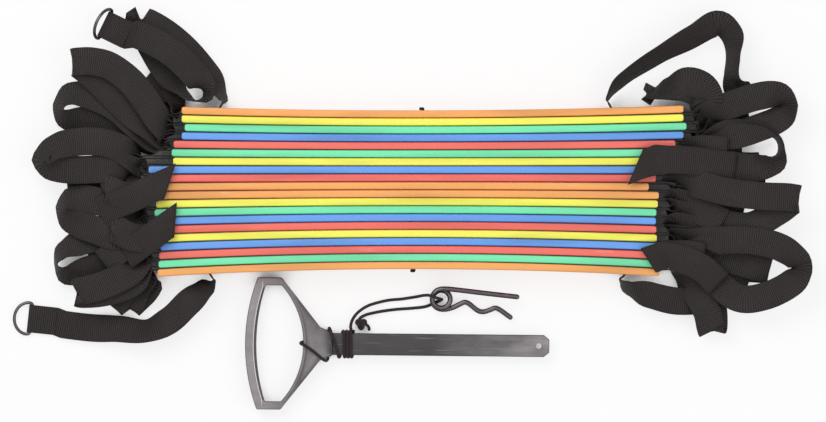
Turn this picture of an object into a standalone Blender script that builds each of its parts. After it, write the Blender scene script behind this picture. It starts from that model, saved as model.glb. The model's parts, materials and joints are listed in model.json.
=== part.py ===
"""Folded agility ladder: 20 flat rungs on edge, two woven straps in loops, and a carrying holder.

Metres, +Z up. The stack lies on the plane z = 0 and is seen from above as it was photographed.
"""
import math

import bmesh
import bpy
from mathutils import Vector

# Scale and centre of the photograph, for the routes of the soft pieces that were read from it
METRES_PER_PIXEL = 0.0009
CENTRE_PIXEL = (411.5, 209.0)

# Rungs
RUNG_COUNT = 20
RUNG_LENGTH = 0.450
RUNG_HEIGHT = 0.032
RUNG_THICKNESS = 0.0060
RIM_HEIGHT = 0.0029
RECESS_DEPTH = 0.0012
RIM_CHAMFER = 0.0009
STACK_GAP_MIDDLE = 0.00115
STACK_GAP_END = 0.0017
STACK_CENTRE_Y_END = 0.0159
STACK_CENTRE_Y_MIDDLE = 0.0173
RUNG_STATIONS = 6
CENTRE_SLOT_LENGTH = 0.024
CENTRE_SLOT_HEIGHT = 0.0070
STRAP_SLOT_WIDTH = 0.0050
STRAP_SLOT_CLEARANCE = 0.0004
STRAP_SLOT_FROM_END = 0.0230

# Straps
WEBBING_WIDTH = 0.025
WEBBING_THICKNESS = 0.0010
LEG_CLEARANCE = 0.0003
LOOP_STEP = 0.020
LEG_TURN_SHARE = 0.30
LEG_TURN_FLAT = 0.6
LEG_FLAT_SHARE = 0.65

# Rings at the strap ends
RING_WIRE = 0.0028
RING_INSIDE_WIDTH = 0.0256
RING_DEPTH = 0.0150
RING_CLEARANCE = 0.0003
FOLD_BACK_LENGTH = 0.020

# Cords
TIE_DIAMETER = 0.0024
TIE_KNOT_RADIUS = 0.0026
TIE_KNOT_LENGTH = 0.0044
CORD_DIAMETER = 0.0028
CORD_CLEARANCE = 0.0003

# Carrying holder
HANDLE_LENGTH = 0.1190
HANDLE_END_WIDTH = 0.0216
HANDLE_THICKNESS = 0.0130
HANDLE_BOW = 0.0108
GRIP_WALL = 0.0100
HANDLE_END_WALL = 0.0072
HANDLE_DEPTH = 0.0790
THROAT_WIDTH = 0.0300
HAND_HOLE_BELLY = 0.0200
POCKET_DEPTH = 0.0030
POCKET_WALL = 0.0024
HANDLE_CHAMFER = 0.0012
BAR_LENGTH = 0.1950
BAR_WIDTH = 0.0198
BAR_THICKNESS = 0.0060
BAR_TIP_CUT = 0.0050
BAR_CHAMFER = 0.0008
CLIP_HOLE_DIAMETER = 0.0052
CLIP_HOLE_FROM_TIP = 0.0095
HOLDER_LIFT = 0.0034
HOLDER_TURN = -0.010
NECK_LENGTH = 0.0115
NECK_LIP = 0.0004
LASHING_FROM_NECK = 0.0093
LASHING_TURNS = 3
KNOT_LOBE = 0.00130
KNOT_RISE = 0.0018
KNOT_HEIGHT = 0.0062

# Spring clip
CLIP_WIRE = 0.0046
CLIP_EYE_RADIUS = 0.0078
CLIP_EYE_SPREAD = 0.0014
CLIP_EYE_TURNS = 1.5
CLIP_LIFT = 0.0034
COIL_CLEARANCE = 0.0003
# Legs as distance along and across from the eye's middle
STRAIGHT_LEG = ((0.0700, 0.0019), (0.0400, 0.0053), (0.0150, 0.0083), (0.0060, 0.0092))
WAVED_LEG = ((0.0050, -0.0090), (0.0109, -0.0073), (0.0170, -0.0043), (0.0210, -0.0028), (0.0250, -0.0043),
             (0.0325, -0.0102), (0.0379, -0.0114), (0.0440, -0.0096), (0.0482, -0.0080), (0.0528, -0.0098),
             (0.0637, -0.0176))

CUT_OVERRUN = 0.0020

ORANGE = (0.95, 0.33, 0.06)
YELLOW = (0.93, 0.88, 0.02)
GREEN = (0.02, 0.72, 0.32)
BLUE = (0.06, 0.20, 0.62)
RED = (0.80, 0.06, 0.09)
RUNG_COLOURS = (ORANGE, YELLOW, GREEN, BLUE, RED, GREEN, YELLOW, BLUE, RED, ORANGE,
                ORANGE, YELLOW, GREEN, BLUE, RED, YELLOW, BLUE, RED, GREEN, ORANGE)
# How far each rung has slipped to the right, as a share of its length
RUNG_SHIFT_SHARES = (0.042, 0.042, 0.048, 0.042, 0.026, 0.022, 0.025, -0.024, -0.013, -0.027,
                     -0.007, -0.009, -0.012, -0.013, -0.012, -0.011, 0.000, -0.003, -0.004, -0.006)

# Free loops of the straps, one for each gap between rungs. A loop that hides under the others has its
# tip x and y in pixels, the two leg heights in shares of the rung height, and how far its legs spread.
# A loop that shows is a route chosen by hand: pixel x and y, height share and how flat the strap lies
# (0 is on edge and 1 is flat).
LEFT_LOOPS = (
    (146, 78, 0.34, 0.20, 8),
    (122, 92, 0.56, 0.42, 9),
    (104, 78, 0.76, 0.62, 8),
    ((166, 134, 0.74, 0.4), (152, 109, 1.02, 1.0), (134, 84, 1.18, 1.0), (112, 67, 1.20, 1.0),
     (94, 62, 1.19, 1.0), (80, 62, 1.15, 1.0), (74, 63, 1.07, 1.0), (80, 65, 0.99, 1.0),
     (98, 80, 0.96, 1.0), (126, 108, 0.90, 1.0), (156, 134, 0.72, 0.5)),
    ((150, 144, 0.60, 0.3), (122, 112, 0.80, 0.9), (94, 97, 0.84, 0.9), (70, 94, 0.80, 0.6),
     (59, 107, 0.70, 0.3), (68, 119, 0.64, 0.6), (90, 121, 0.62, 0.9), (118, 130, 0.60, 0.9),
     (148, 148, 0.56, 0.3)),
    (84, 136, 0.44, 0.30, 9),
    ((135, 161, 0.74, 0.5), (122, 149, 1.00, 1.0), (100, 142, 1.10, 1.0), (72, 143, 1.08, 1.0),
     (53, 149, 1.02, 0.7), (42, 161, 0.94, 0.5), (54, 168, 0.92, 0.8), (76, 170, 0.98, 1.0),
     (104, 169, 1.00, 1.0), (122, 168, 0.90, 0.9), (135, 168, 0.66, 0.4)),
    ((132, 176, 0.56, 0.5), (118, 183, 0.76, 1.0), (108, 188, 0.86, 1.0), (104, 190, 0.94, 1.0),
     (108, 189, 1.02, 1.0), (126, 196, 1.09, 1.0), (146, 192, 1.12, 1.0), (164, 184, 1.12, 1.0),
     (177, 178.5, 1.13, 1.0), (182, 176.3, 1.20, 1.0), (177, 178.5, 1.27, 1.0), (158, 187, 1.27, 1.0),
     (134, 198, 1.20, 1.0), (114, 206, 1.04, 1.0), (103, 210, 0.95, 1.0), (99, 211.5, 0.88, 1.0),
     (103, 210, 0.81, 1.0), (118, 200, 0.70, 0.9), (132, 186, 0.56, 0.4)),
    (68, 184, 0.50, 0.36, 10),
    ((130, 197, 0.60, 0.5), (114, 204, 0.84, 0.9), (92, 200, 0.92, 1.0), (72, 198, 0.88, 0.6),
     (62, 208, 0.80, 0.3), (72, 221, 0.84, 0.7), (94, 229, 0.92, 1.0), (118, 236, 0.88, 1.0),
     (132, 222, 0.70, 0.8), (134, 206, 0.56, 0.4)),
    (100, 218, 0.28, 0.16, 9),
    ((138, 216, 0.56, 0.5), (124, 222, 0.76, 1.0), (115, 227, 0.86, 1.0), (111, 229, 0.94, 1.0),
     (115, 228, 1.02, 1.0), (133, 237, 1.09, 1.0), (150, 237, 1.12, 1.0), (167, 227, 1.12, 1.0),
     (181, 217, 1.13, 1.0), (185.5, 214, 1.20, 1.0), (181, 217, 1.27, 1.0), (164, 229, 1.27, 1.0),
     (148, 240, 1.20, 1.0), (137, 248, 1.05, 1.0), (130, 253, 0.96, 1.0), (126.5, 255.5, 0.89, 1.0),
     (130, 253, 0.82, 1.0), (137, 240, 0.70, 0.8), (141, 226, 0.56, 0.4)),
    (118, 236, 0.44, 0.30, 8),
    ((142, 232, 0.50, 0.3), (110, 236, 0.60, 0.8), (82, 242, 0.64, 0.8), (62, 251, 0.60, 0.4),
     (56, 264, 0.54, 0.1), (66, 275, 0.54, 0.5), (88, 270, 0.56, 0.9), (114, 258, 0.54, 0.9),
     (142, 242, 0.48, 0.3)),
    (104, 262, 0.86, 0.72, 8),
    (92, 262, 0.30, 0.16, 9),
    ((142, 262, 0.66, 0.5), (126, 275, 0.90, 1.0), (104, 285, 1.00, 1.0), (86, 290, 0.98, 1.0),
     (78, 292, 0.91, 1.0), (84, 294, 0.84, 1.0), (106, 292, 0.82, 1.0), (130, 284, 0.76, 1.0),
     (144, 270, 0.58, 0.4)),
    (112, 306, 0.50, 0.36, 9),
    (128, 308, 0.40, 0.26, 8),
)
RIGHT_LOOPS = (
    ((700, 111, 0.60, 0.5), (709, 101, 0.84, 1.0), (703, 87, 0.96, 1.0), (687, 81, 0.92, 0.9),
     (668, 88, 0.80, 0.5), (654, 93, 0.66, 0.25), (648, 94, 0.58, 0.1), (656, 97, 0.50, 0.1),
     (682, 97, 0.46, 0.2), (702, 105, 0.46, 0.5), (702, 115, 0.50, 0.3)),
    ((704, 114, 0.60, 0.5), (730, 105, 0.84, 0.9), (756, 97, 0.90, 1.0), (776, 95, 0.86, 0.8),
     (788, 105, 0.78, 0.4), (780, 118, 0.72, 0.8), (758, 128, 0.70, 1.0), (730, 136, 0.68, 0.9),
     (704, 132, 0.54, 0.4)),
    (748, 112, 0.34, 0.20, 9),
    ((700, 142, 0.50, 0.3), (728, 132, 0.52, 0.7), (756, 130, 0.50, 0.4), (776, 136, 0.50, 0.1),
     (781, 150, 0.54, 0.1), (772, 164, 0.66, 0.6), (748, 168, 0.78, 1.0), (722, 162, 0.74, 0.9),
     (700, 150, 0.54, 0.3)),
    (742, 144, 0.30, 0.16, 9),
    (726, 150, 0.92, 0.78, 9),
    ((692, 168, 0.58, 0.5), (706, 168, 0.78, 1.0), (714, 168, 0.87, 1.0), (717, 168, 0.94, 1.0),
     (712, 167, 1.02, 1.0), (694, 163, 1.10, 1.0), (668, 160, 1.12, 1.0), (644, 164, 1.12, 1.0),
     (625, 171, 1.13, 1.0), (620.3, 172.8, 1.20, 1.0), (625, 171, 1.27, 1.0), (644, 164, 1.27, 1.0),
     (668, 160, 1.26, 1.0), (694, 161, 1.16, 1.0), (716, 164, 1.04, 1.0), (730, 166, 0.95, 1.0),
     (734, 166.6, 0.88, 1.0), (730, 166.5, 0.81, 1.0), (712, 170, 0.70, 0.9), (694, 173, 0.56, 0.4)),
    (758, 166, 0.44, 0.30, 9),
    ((680, 181, 0.84, 0.5), (696, 184, 1.10, 1.0), (726, 192, 1.20, 1.0), (758, 196, 1.22, 1.0),
     (784, 197, 1.19, 1.0), (792, 198, 1.16, 1.0), (797, 199, 1.08, 1.0), (791, 201, 1.00, 1.0),
     (776, 212, 0.96, 1.0),
     (748, 226, 0.92, 1.0), (716, 220, 0.76, 0.9), (690, 198, 0.56, 0.4)),
    (764, 186, 0.30, 0.16, 9),
    (722, 222, 0.90, 0.76, 8),
    (742, 216, 0.44, 0.30, 9),
    (756, 238, 0.28, 0.14, 9),
    (726, 242, 0.86, 0.72, 9),
    ((684, 238, 0.70, 0.4), (716, 240, 0.88, 0.9), (748, 240, 0.98, 1.0), (776, 246, 0.98, 1.0),
     (795, 258, 0.92, 0.7), (801, 270, 0.86, 0.5), (789, 284, 0.88, 0.9), (764, 296, 0.90, 1.0),
     (738, 298, 0.84, 1.0), (714, 280, 0.70, 0.9), (686, 250, 0.52, 0.4)),
    ((680, 252, 0.56, 0.5), (692, 255, 0.76, 1.0), (700, 256, 0.87, 1.0), (703, 256.4, 0.94, 1.0),
     (699, 256, 1.02, 1.0), (682, 254, 1.10, 1.0), (660, 256, 1.12, 1.0), (642, 262, 1.12, 1.0),
     (630, 266, 1.13, 1.0), (625.5, 267.5, 1.20, 1.0), (630, 266, 1.27, 1.0), (642, 262, 1.27, 1.0),
     (660, 257, 1.27, 1.0), (682, 259, 1.22, 1.0), (702, 269, 1.10, 1.0), (714, 280, 0.98, 1.0),
     (717.5, 283.2, 0.90, 1.0), (714, 280, 0.82, 1.0), (701, 270, 0.70, 0.9), (682, 260, 0.54, 0.4)),
    (768, 270, 0.50, 0.36, 10),
    (748, 282, 0.34, 0.20, 9),
    ((680, 272, 0.50, 0.4), (694, 290, 0.60, 0.9), (706, 310, 0.62, 1.0), (710, 326, 0.58, 1.0),
     (712, 331, 0.50, 1.0), (714, 324, 0.42, 1.0), (712, 304, 0.40, 1.0), (700, 286, 0.44, 0.8),
     (682, 274, 0.50, 0.3)),
)

# Ends of the straps, from the slot of the outer rung to the ring: pixel x and y, height as a share of
# the rung height, and how flat the strap lies there
TAIL_LEFT_TOP = ((222, 104, 0.50, 0.0), (223, 98, 0.50, 0.2), (208, 74, 0.52, 0.7), (182, 46, 0.56, 0.9),
                 (158, 28, 0.52, 1.0), (138, 20, 0.44, 1.0), (150, 44, 0.36, 1.0), (166, 72, 0.38, 0.8),
                 (184, 94, 0.46, 0.2), (196, 101, 0.50, 0.0), (206, 93, 0.62, 0.3), (196, 76, 0.94, 1.0),
                 (172, 53, 1.06, 1.0), (140, 36, 0.96, 1.0))
TAIL_LEFT_BOTTOM = ((212, 277, 0.50, 0.0), (213.5, 281, 0.50, 0.1), (205, 288, 0.54, 0.5), (188, 303, 0.62, 0.9),
                    (170, 320, 0.56, 0.9), (146, 331, 0.46, 0.6), (118, 329, 0.32, 0.8),
                    (90, 328, 0.22, 1.0), (58, 324, 0.14, 1.0))
TAIL_RIGHT_TOP = ((609, 104, 0.50, 0.0), (608, 98, 0.50, 0.1), (622, 80, 0.52, 0.3), (656, 57, 0.60, 0.4),
                  (692, 37, 0.70, 0.6), (716, 24, 0.70, 0.8), (731, 34, 0.60, 0.6), (733, 56, 0.52, 0.3),
                  (732, 76, 0.46, 0.3), (740, 92, 0.20, 1.0))
TAIL_RIGHT_BOTTOM = ((623, 276.5, 0.50, 0.0), (620, 280, 0.50, 0.0), (628, 288, 0.54, 0.3), (650, 295, 0.66, 0.8),
                     (676, 301, 0.60, 0.9), (702, 300, 0.30, 1.0), (722, 296, 0.12, 1.0))

# Ring places: pixel x and y of the bar, height share of the rung, strap heading and ring tilt
RING_LEFT_TOP = (106, 25, 0.70, 154, 60)
RING_LEFT_BOTTOM = (30, 319, 0.10, 174, 3)

# Routes of the cords, chosen by hand: the lashing in the holder's frame, the lanyard in pixels with
# its height in metres
LASHING_ROUTE = ((0.0660, 0.0060, -0.0018), (0.0570, 0.0030, -0.0018), (0.0524, 0.0014, -0.0018),
                 (0.0503, 0.0009, -0.0002), (0.0502, 0.0006, 0.0065), (0.0503, 0.0002, 0.0132),
                 (0.0524, -0.0008, 0.0148), (0.0560, -0.0028, 0.0150), (0.0620, -0.0070, 0.0149),
                 (0.0680, -0.0118, 0.0149), (0.0710, -0.0142, 0.0142), (0.0728, -0.0150, 0.0110),
                 (0.0735, -0.0150, 0.0065), (0.0742, -0.0142, 0.0000), (0.0747, -0.0120, -0.0018),
                 (0.0750, -0.0070, -0.0018), (0.0750, 0.0070, -0.0018), (0.0751, 0.0118, -0.0018),
                 (0.0754, 0.0138, -0.0002), (0.0758, 0.0142, 0.0065), (0.0763, 0.0136, 0.0128),
                 (0.0770, 0.0116, 0.0148), (0.0785, 0.0070, 0.0149), (0.0812, 0.0000, 0.0142),
                 (0.0832, -0.0070, 0.0125), (0.0841, -0.0108, 0.0108), (0.0847, -0.0119, 0.0065),
                 (0.0852, -0.0116, 0.0028), (0.0857, -0.0098, 0.0016), (0.0862, -0.0050, 0.0016),
                 (0.0868, 0.0050, 0.0016), (0.0874, 0.0099, 0.0017), (0.0880, 0.0114, 0.0030))
LANYARD_OUT = ((352.6, 329.3, 0.0099), (352.2, 322, 0.0092), (356.5, 314, 0.0070), (366, 307, 0.0050),
               (376, 302.5, 0.0036), (389, 299.2, 0.0026), (402, 297.5, 0.0024), (415, 296.8, 0.0030),
               (424, 295.5, 0.0090), (430, 295.5, 0.0160), (436, 297.6, 0.0188), (441, 299.2, 0.0150),
               (441.8, 299.6, 0.0080))
LANYARD_BACK = ((440.5, 300.4, 0.0022), (434, 303.5, 0.0017), (425, 307, 0.0017), (412, 308.5, 0.0020),
                (398, 309.5, 0.0020), (386, 310.8, 0.0024), (376, 313.5, 0.0036), (366.3, 320.2, 0.0056))
KNOT_PLACE = (361.0, 324.0)
TIE_ENDS = (421.3, 412.9)
GRIP_PLACE = (245.0, 343.2)
CLIP_EYE_PLACE = (441.6, 299.3)


def photo(x, y, z=0.0):
    """A place in the model from a pixel of the photograph and a height."""
    return Vector(((x - CENTRE_PIXEL[0]) * METRES_PER_PIXEL, (CENTRE_PIXEL[1] - y) * METRES_PER_PIXEL, z))


def rung_centre_x(index):
    return RUNG_SHIFT_SHARES[index] * RUNG_LENGTH


def rung_y(index, x):
    """Centre line of a rung: tied tight in the middle and spread by the straps at the ends."""
    place = (RUNG_COUNT - 1) / 2 - index
    end = STACK_CENTRE_Y_END + place * (RUNG_THICKNESS + STACK_GAP_END)
    middle = STACK_CENTRE_Y_MIDDLE + place * (RUNG_THICKNESS + STACK_GAP_MIDDLE)
    bow = 1 - (x / (RUNG_LENGTH / 2)) ** 2
    return end + (middle - end) * bow


def rung_end_x(index, side):
    return rung_centre_x(index) + side * RUNG_LENGTH / 2


def strap_slot_x(index, side):
    return rung_end_x(index, side) - side * STRAP_SLOT_FROM_END


def material(name, colour, roughness, metallic=0.0):
    made = bpy.data.materials.get(name)
    if made is None:
        made = bpy.data.materials.new(name)
        made.use_nodes = True
        shader = made.node_tree.nodes["Principled BSDF"]
        shader.inputs["Base Color"].default_value = (*colour, 1)
        shader.inputs["Roughness"].default_value = roughness
        shader.inputs["Metallic"].default_value = metallic
    return made


def add_object(name, mesh_builder, finish=None, origin=Vector((0, 0, 0)), smooth_angle=None):
    """Turn a bmesh into an object whose origin is at the given place."""
    bmesh.ops.recalc_face_normals(mesh_builder, faces=mesh_builder.faces[:])
    if mesh_builder.calc_volume(signed=True) < 0:
        bmesh.ops.reverse_faces(mesh_builder, faces=mesh_builder.faces[:])
    bmesh.ops.translate(mesh_builder, verts=mesh_builder.verts[:], vec=-origin)
    mesh = bpy.data.meshes.new(name)
    mesh_builder.to_mesh(mesh)
    mesh_builder.free()
    thing = bpy.data.objects.new(name, mesh)
    thing.location = origin
    bpy.context.collection.objects.link(thing)
    if finish is not None:
        mesh.materials.append(finish)
    if smooth_angle is not None:
        mesh.shade_smooth()
        mesh.set_sharp_from_angle(angle=smooth_angle)
    return thing


def loft(rings, closed=False):
    """Skin a row of rings that have equal numbers of points, with flat caps unless it closes."""
    builder = bmesh.new()
    rows = [[builder.verts.new(point) for point in ring] for ring in rings]
    count = len(rows[0])
    pairs = list(zip(rows, rows[1:]))
    if closed:
        pairs.append((rows[-1], rows[0]))
    for near, far in pairs:
        for i in range(count):
            j = (i + 1) % count
            builder.faces.new((near[i], near[j], far[j], far[i]))
    if not closed:
        builder.faces.new(rows[0])
        builder.faces.new(rows[-1])
    return builder


def facets(builder):
    """Split a twisted skin into flat triangles, so that every face is plane."""
    bmesh.ops.triangulate(builder, faces=builder.faces[:])
    return builder


def box(low, high):
    corners = ((low[0], low[1]), (high[0], low[1]), (high[0], high[1]), (low[0], high[1]))
    return loft([[Vector((x, y, z)) for x, y in corners] for z in (low[2], high[2])])


def cutter(name, builder, parent=None):
    """A hidden shape that a Boolean reads."""
    shape = add_object(name, builder)
    shape.display_type = "WIRE"
    shape.hide_render = True
    shape.parent = parent
    return shape


def combine(thing, other, operation="DIFFERENCE"):
    step = thing.modifiers.new(other.name, "BOOLEAN")
    step.object = other
    step.operation = operation
    step.solver = "EXACT"


def rung_ring(index, x, shrink):
    """Outline of a rung's I section at one station, with its corners drawn in by shrink."""
    half = RUNG_THICKNESS / 2
    web = half - RECESS_DEPTH
    top = RUNG_HEIGHT
    outline = ((-half, 0), (half, 0), (half, RIM_HEIGHT), (web, RIM_HEIGHT),
               (web, top - RIM_HEIGHT), (half, top - RIM_HEIGHT), (half, top - RIM_CHAMFER),
               (half - RIM_CHAMFER, top), (RIM_CHAMFER - half, top), (-half, top - RIM_CHAMFER),
               (-half, top - RIM_HEIGHT), (-web, top - RIM_HEIGHT), (-web, RIM_HEIGHT),
               (-half, RIM_HEIGHT))
    middle = rung_y(index, x)
    limit = half - shrink / 2
    return [Vector((x, middle + max(-limit, min(limit, y)), max(shrink, min(top - shrink, z))))
            for y, z in outline]


def slot_cutter(name, index, x, length, height):
    middle = rung_y(index, x)
    reach = RUNG_THICKNESS / 2 + STACK_GAP_END
    low = (x - length / 2, middle - reach, (RUNG_HEIGHT - height) / 2)
    high = (x + length / 2, middle + reach, (RUNG_HEIGHT + height) / 2)
    return cutter(name, box(low, high))


def rung(index):
    """One flat rung with its rims, its centre slot and a strap slot near each end."""
    left = rung_end_x(index, -1)
    inner = RUNG_LENGTH - 2 * RIM_CHAMFER
    rings = [rung_ring(index, left, RIM_CHAMFER)]
    for station in range(RUNG_STATIONS + 1):
        rings.append(rung_ring(index, left + RIM_CHAMFER + inner * station / RUNG_STATIONS, 0))
    rings.append(rung_ring(index, left + RUNG_LENGTH, RIM_CHAMFER))
    name = f"rung_{index + 1:02d}"
    colour = RUNG_COLOURS[index]
    shade = material(f"rung_plastic_{RUNG_COLOURS.index(colour)}", colour, 0.35)
    thing = add_object(name, loft(rings), shade)
    combine(thing, slot_cutter(f"{name}_centre_cut", index, rung_centre_x(index),
                               CENTRE_SLOT_LENGTH, CENTRE_SLOT_HEIGHT))
    for side in (-1, 1):
        combine(thing, slot_cutter(f"{name}_strap_cut_{side}", index, strap_slot_x(index, side),
                                   STRAP_SLOT_WIDTH, WEBBING_WIDTH + 2 * STRAP_SLOT_CLEARANCE))
    return thing


def catmull(a, b, c, d, t):
    """Smooth step from b to c for values or vectors."""
    return 0.5 * (2 * b + (c - a) * t + (2 * a - 5 * b + 4 * c - d) * t * t
                  + (3 * b - a - 3 * c + d) * t ** 3)


def smooth_route(points, step):
    """Points along a smooth curve through the given points, the ends included."""
    padded = [points[0] * 2 - points[1], *points, points[-1] * 2 - points[-2]]
    route = []
    for a, b, c, d in zip(padded, padded[1:], padded[2:], padded[3:]):
        count = max(1, round((c - b).length / step))
        route.extend(catmull(a, b, c, d, i / count) for i in range(count))
    route.append(points[-1])
    return route


def strap_keys(keys):
    """Give each key place of a strap its width direction, from how flat the strap lies there."""
    directed = []
    across = None
    for i, (place, flat) in enumerate(keys):
        before = keys[max(0, i - 1)][0]
        after = keys[min(len(keys) - 1, i + 1)][0]
        run = (after - before)
        sideways = Vector((-run.y, run.x, 0))
        if sideways.length < WEBBING_WIDTH / 4 and across is not None:
            sideways = across.copy()
        sideways.normalize()
        if across is not None and sideways.dot(across) < 0:
            sideways.negate()
        across = sideways
        angle = flat * math.pi / 2
        width = Vector((0, 0, math.cos(angle))) + sideways * math.sin(angle)
        half = WEBBING_WIDTH / 2 * math.cos(angle) + WEBBING_THICKNESS / 2
        lifted = Vector((place.x, place.y, max(place.z, half)))
        directed.append((lifted, width))
    return directed


def strap_run(keys, step):
    """Sample a free stretch of strap between its keys as places and width directions."""
    directed = strap_keys(keys)
    places = [place for place, _ in directed]
    padded = [places[0] * 2 - places[1], *places, places[-1] * 2 - places[-2]]
    samples = []
    for i in range(len(places) - 1):
        a, b, c, d = padded[i:i + 4]
        count = max(1, round((c - b).length / step))
        for j in range(count):
            t = j / count
            ease = t * t * (3 - 2 * t)
            width = directed[i][1].lerp(directed[i + 1][1], ease).normalized()
            place = catmull(a, b, c, d, t)
            place.z = max(place.z, abs(width.z) * WEBBING_WIDTH / 2 + WEBBING_THICKNESS)
            samples.append((place, width))
    samples.append((places[-1], directed[-1][1].normalized()))
    return samples


def face_offset():
    """Distance of a strap leg's middle from the rung's middle."""
    return RUNG_THICKNESS / 2 - RECESS_DEPTH + LEG_CLEARANCE + WEBBING_THICKNESS / 2


def slot_turn(index, side, first_face, wall):
    """Half of the strap's way round one corner of the slot; wall is +1 for the outer wall."""
    turn = LEG_CLEARANCE + WEBBING_THICKNESS / 2
    x = strap_slot_x(index, side) + wall * side * STRAP_SLOT_WIDTH / 2
    web = RUNG_THICKNESS / 2 - RECESS_DEPTH
    middle = rung_y(index, x)
    corner = Vector((x, middle + first_face * web, RUNG_HEIGHT / 2))
    points = []
    for quarter in (0, 0.5, 1):
        angle = quarter * math.pi / 2
        points.append(corner + Vector((-wall * side * math.sin(angle), first_face * math.cos(angle), 0))
                      * turn)
    return points


def leg(index, side, face, from_x, to_x):
    """Two places of the strap along a rung's recess."""
    return [Vector((x, rung_y(index, x) + face * face_offset(), RUNG_HEIGHT / 2)) for x in (from_x, to_x)]


def through_rung(index, side):
    """The strap's way from one face of a rung round the slot's outer wall to the other face."""
    far = rung_end_x(index, side)
    near = strap_slot_x(index, side) + side * STRAP_SLOT_WIDTH
    way = leg(index, side, 1, far, near) + slot_turn(index, side, 1, 1)
    way += reversed(slot_turn(index, side, -1, 1))
    way += leg(index, side, -1, near, far)
    return [(place, Vector((0, 0, 1))) for place in way]


def through_outer_rung(index, side, outer_face, exit_x):
    """The strap's way through the first or last rung: it leaves the outer face towards the middle."""
    far = rung_end_x(index, side)
    near = strap_slot_x(index, side)
    beside = side * STRAP_SLOT_WIDTH
    way = leg(index, side, -outer_face, far, near + beside) + slot_turn(index, side, -outer_face, 1)
    way += reversed(slot_turn(index, side, outer_face, -1))
    way += leg(index, side, outer_face, near - beside, exit_x)
    if outer_face > 0:
        way.reverse()
    return [(place, Vector((0, 0, 1))) for place in way]


def lane_end_x(index, side):
    """How far a loop stays between its rungs: past the ends of the rungs around it."""
    around = range(max(0, index - 1), min(RUNG_COUNT, index + 3))
    return side * (max(side * rung_end_x(i, side) for i in around) + STRAP_SLOT_WIDTH / 2)


def free_loop(index, side, loop):
    """Keys of the loop between a rung and the next: out, over its fold or round its bend, and back."""
    lane = lane_end_x(index, side)
    start = leg(index, side, -1, lane, lane)[0]
    end = leg(index + 1, side, 1, lane, lane)[0]
    straight = Vector((side * WEBBING_WIDTH / 4, 0, 0))
    shown = isinstance(loop[0], tuple)
    middle = shown_route(loop) if shown else hidden_route(loop, (start + end) / 2)
    return [(start, 0), (start + straight, 0), *middle, (end + straight, 0), (end, 0)]


def shown_route(keys):
    return [(photo(x, y, share * RUNG_HEIGHT), flat) for x, y, share, flat in keys]


def hidden_route(loop, root):
    """A plain loop folded over flat at its tip, with its legs spread a little on the way."""
    tip_x, tip_y, out_share, back_share, spread = loop
    tip = photo(tip_x, tip_y)
    run = tip - Vector((root.x, root.y, 0))
    forward = run.normalized()
    aside = Vector((-forward.y, forward.x, 0)).normalized() * spread * METRES_PER_PIXEL
    if aside.y < 0:
        aside.negate()
    out_height = out_share * RUNG_HEIGHT
    back_height = back_share * RUNG_HEIGHT
    fold = forward * abs(out_height - back_height) / 2
    route = []
    for share, flat in ((LEG_TURN_SHARE, LEG_TURN_FLAT), (LEG_FLAT_SHARE, 1)):
        place = tip - run * (1 - share) + aside * (1 - share)
        place.z = RUNG_HEIGHT / 2 + (out_height - RUNG_HEIGHT / 2) * flat
        route.append((place, flat))
    route += [(tip - fold + Vector((0, 0, out_height)), 1),
              (tip + Vector((0, 0, (out_height + back_height) / 2)), 1),
              (tip - fold + Vector((0, 0, back_height)), 1)]
    for share, flat in ((LEG_FLAT_SHARE, 1), (LEG_TURN_SHARE, LEG_TURN_FLAT)):
        place = tip - run * (1 - share) - aside * (1 - share)
        place.z = RUNG_HEIGHT / 2 + (back_height - RUNG_HEIGHT / 2) * flat
        route.append((place, flat))
    return route


def ring_frame(ring):
    """Bar place, strap heading, bar direction and tilt of a strap-end ring."""
    x, y, height_share, heading, tilt = ring
    place = photo(x, y, height_share * RUNG_HEIGHT)
    angle = math.radians(heading)
    forward = Vector((math.cos(angle), math.sin(angle), 0))
    return place, forward, Vector((-forward.y, forward.x, 0)), math.radians(tilt)


def ring_fold(ring):
    """The strap's way round the ring's bar and back over itself."""
    place, forward, across, _ = ring_frame(ring)
    reach = RING_WIRE / 2 + RING_CLEARANCE + WEBBING_THICKNESS / 2
    near = forward * -(FOLD_BACK_LENGTH + reach)
    lap = (WEBBING_THICKNESS + LEG_CLEARANCE) / 2
    way = [place + near + Vector((0, 0, -lap)), place + forward * -(2 * reach) + Vector((0, 0, -lap))]
    for step in range(5):
        angle = -math.pi / 2 + step * math.pi / 4
        way.append(place + (forward * math.cos(angle) + Vector((0, 0, math.sin(angle)))) * reach)
    way.append(place + forward * -(2 * reach) + Vector((0, 0, lap)))
    way.append(place + near + Vector((0, 0, lap)))
    return [(point, across) for point in way]


def tail(keys, ring):
    """Free end of a strap from the outer rung to its ring."""
    places = [(photo(x, y, share * RUNG_HEIGHT), flat) for x, y, share, flat in keys]
    if ring is None:
        return strap_run(places, LOOP_STEP)
    fold = ring_fold(ring)
    samples = strap_run(places + [(fold[0][0], 1.0)], LOOP_STEP)[:-1]
    if samples[-1][1].dot(fold[0][1]) < 0:
        fold = [(place, -width) for place, width in fold]
    return samples + fold


def strap_mesh(samples):
    """A band of webbing along places with width directions, as one closed solid."""
    rings = []
    last = len(samples) - 1
    for i, (place, width) in enumerate(samples):
        before = place - samples[i - 1][0] if i else samples[1][0] - place
        after = samples[i + 1][0] - place if i < last else before
        before = before.normalized()
        after = after.normalized()
        along = (before + after).normalized()
        side = (width - along * width.dot(along)).normalized()
        face = along.cross(side)
        mitre = 1 / max(0.6, along.dot(after))
        wide = side * WEBBING_WIDTH / 2
        thick = face * WEBBING_THICKNESS / 2 * mitre
        ring = [place - wide - thick, place + wide - thick, place + wide + thick, place - wide + thick]
        sunk = max(0, LEG_CLEARANCE - min(corner.z for corner in ring))
        rings.append([corner + Vector((0, 0, sunk)) for corner in ring])
    return facets(loft(rings))


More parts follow.
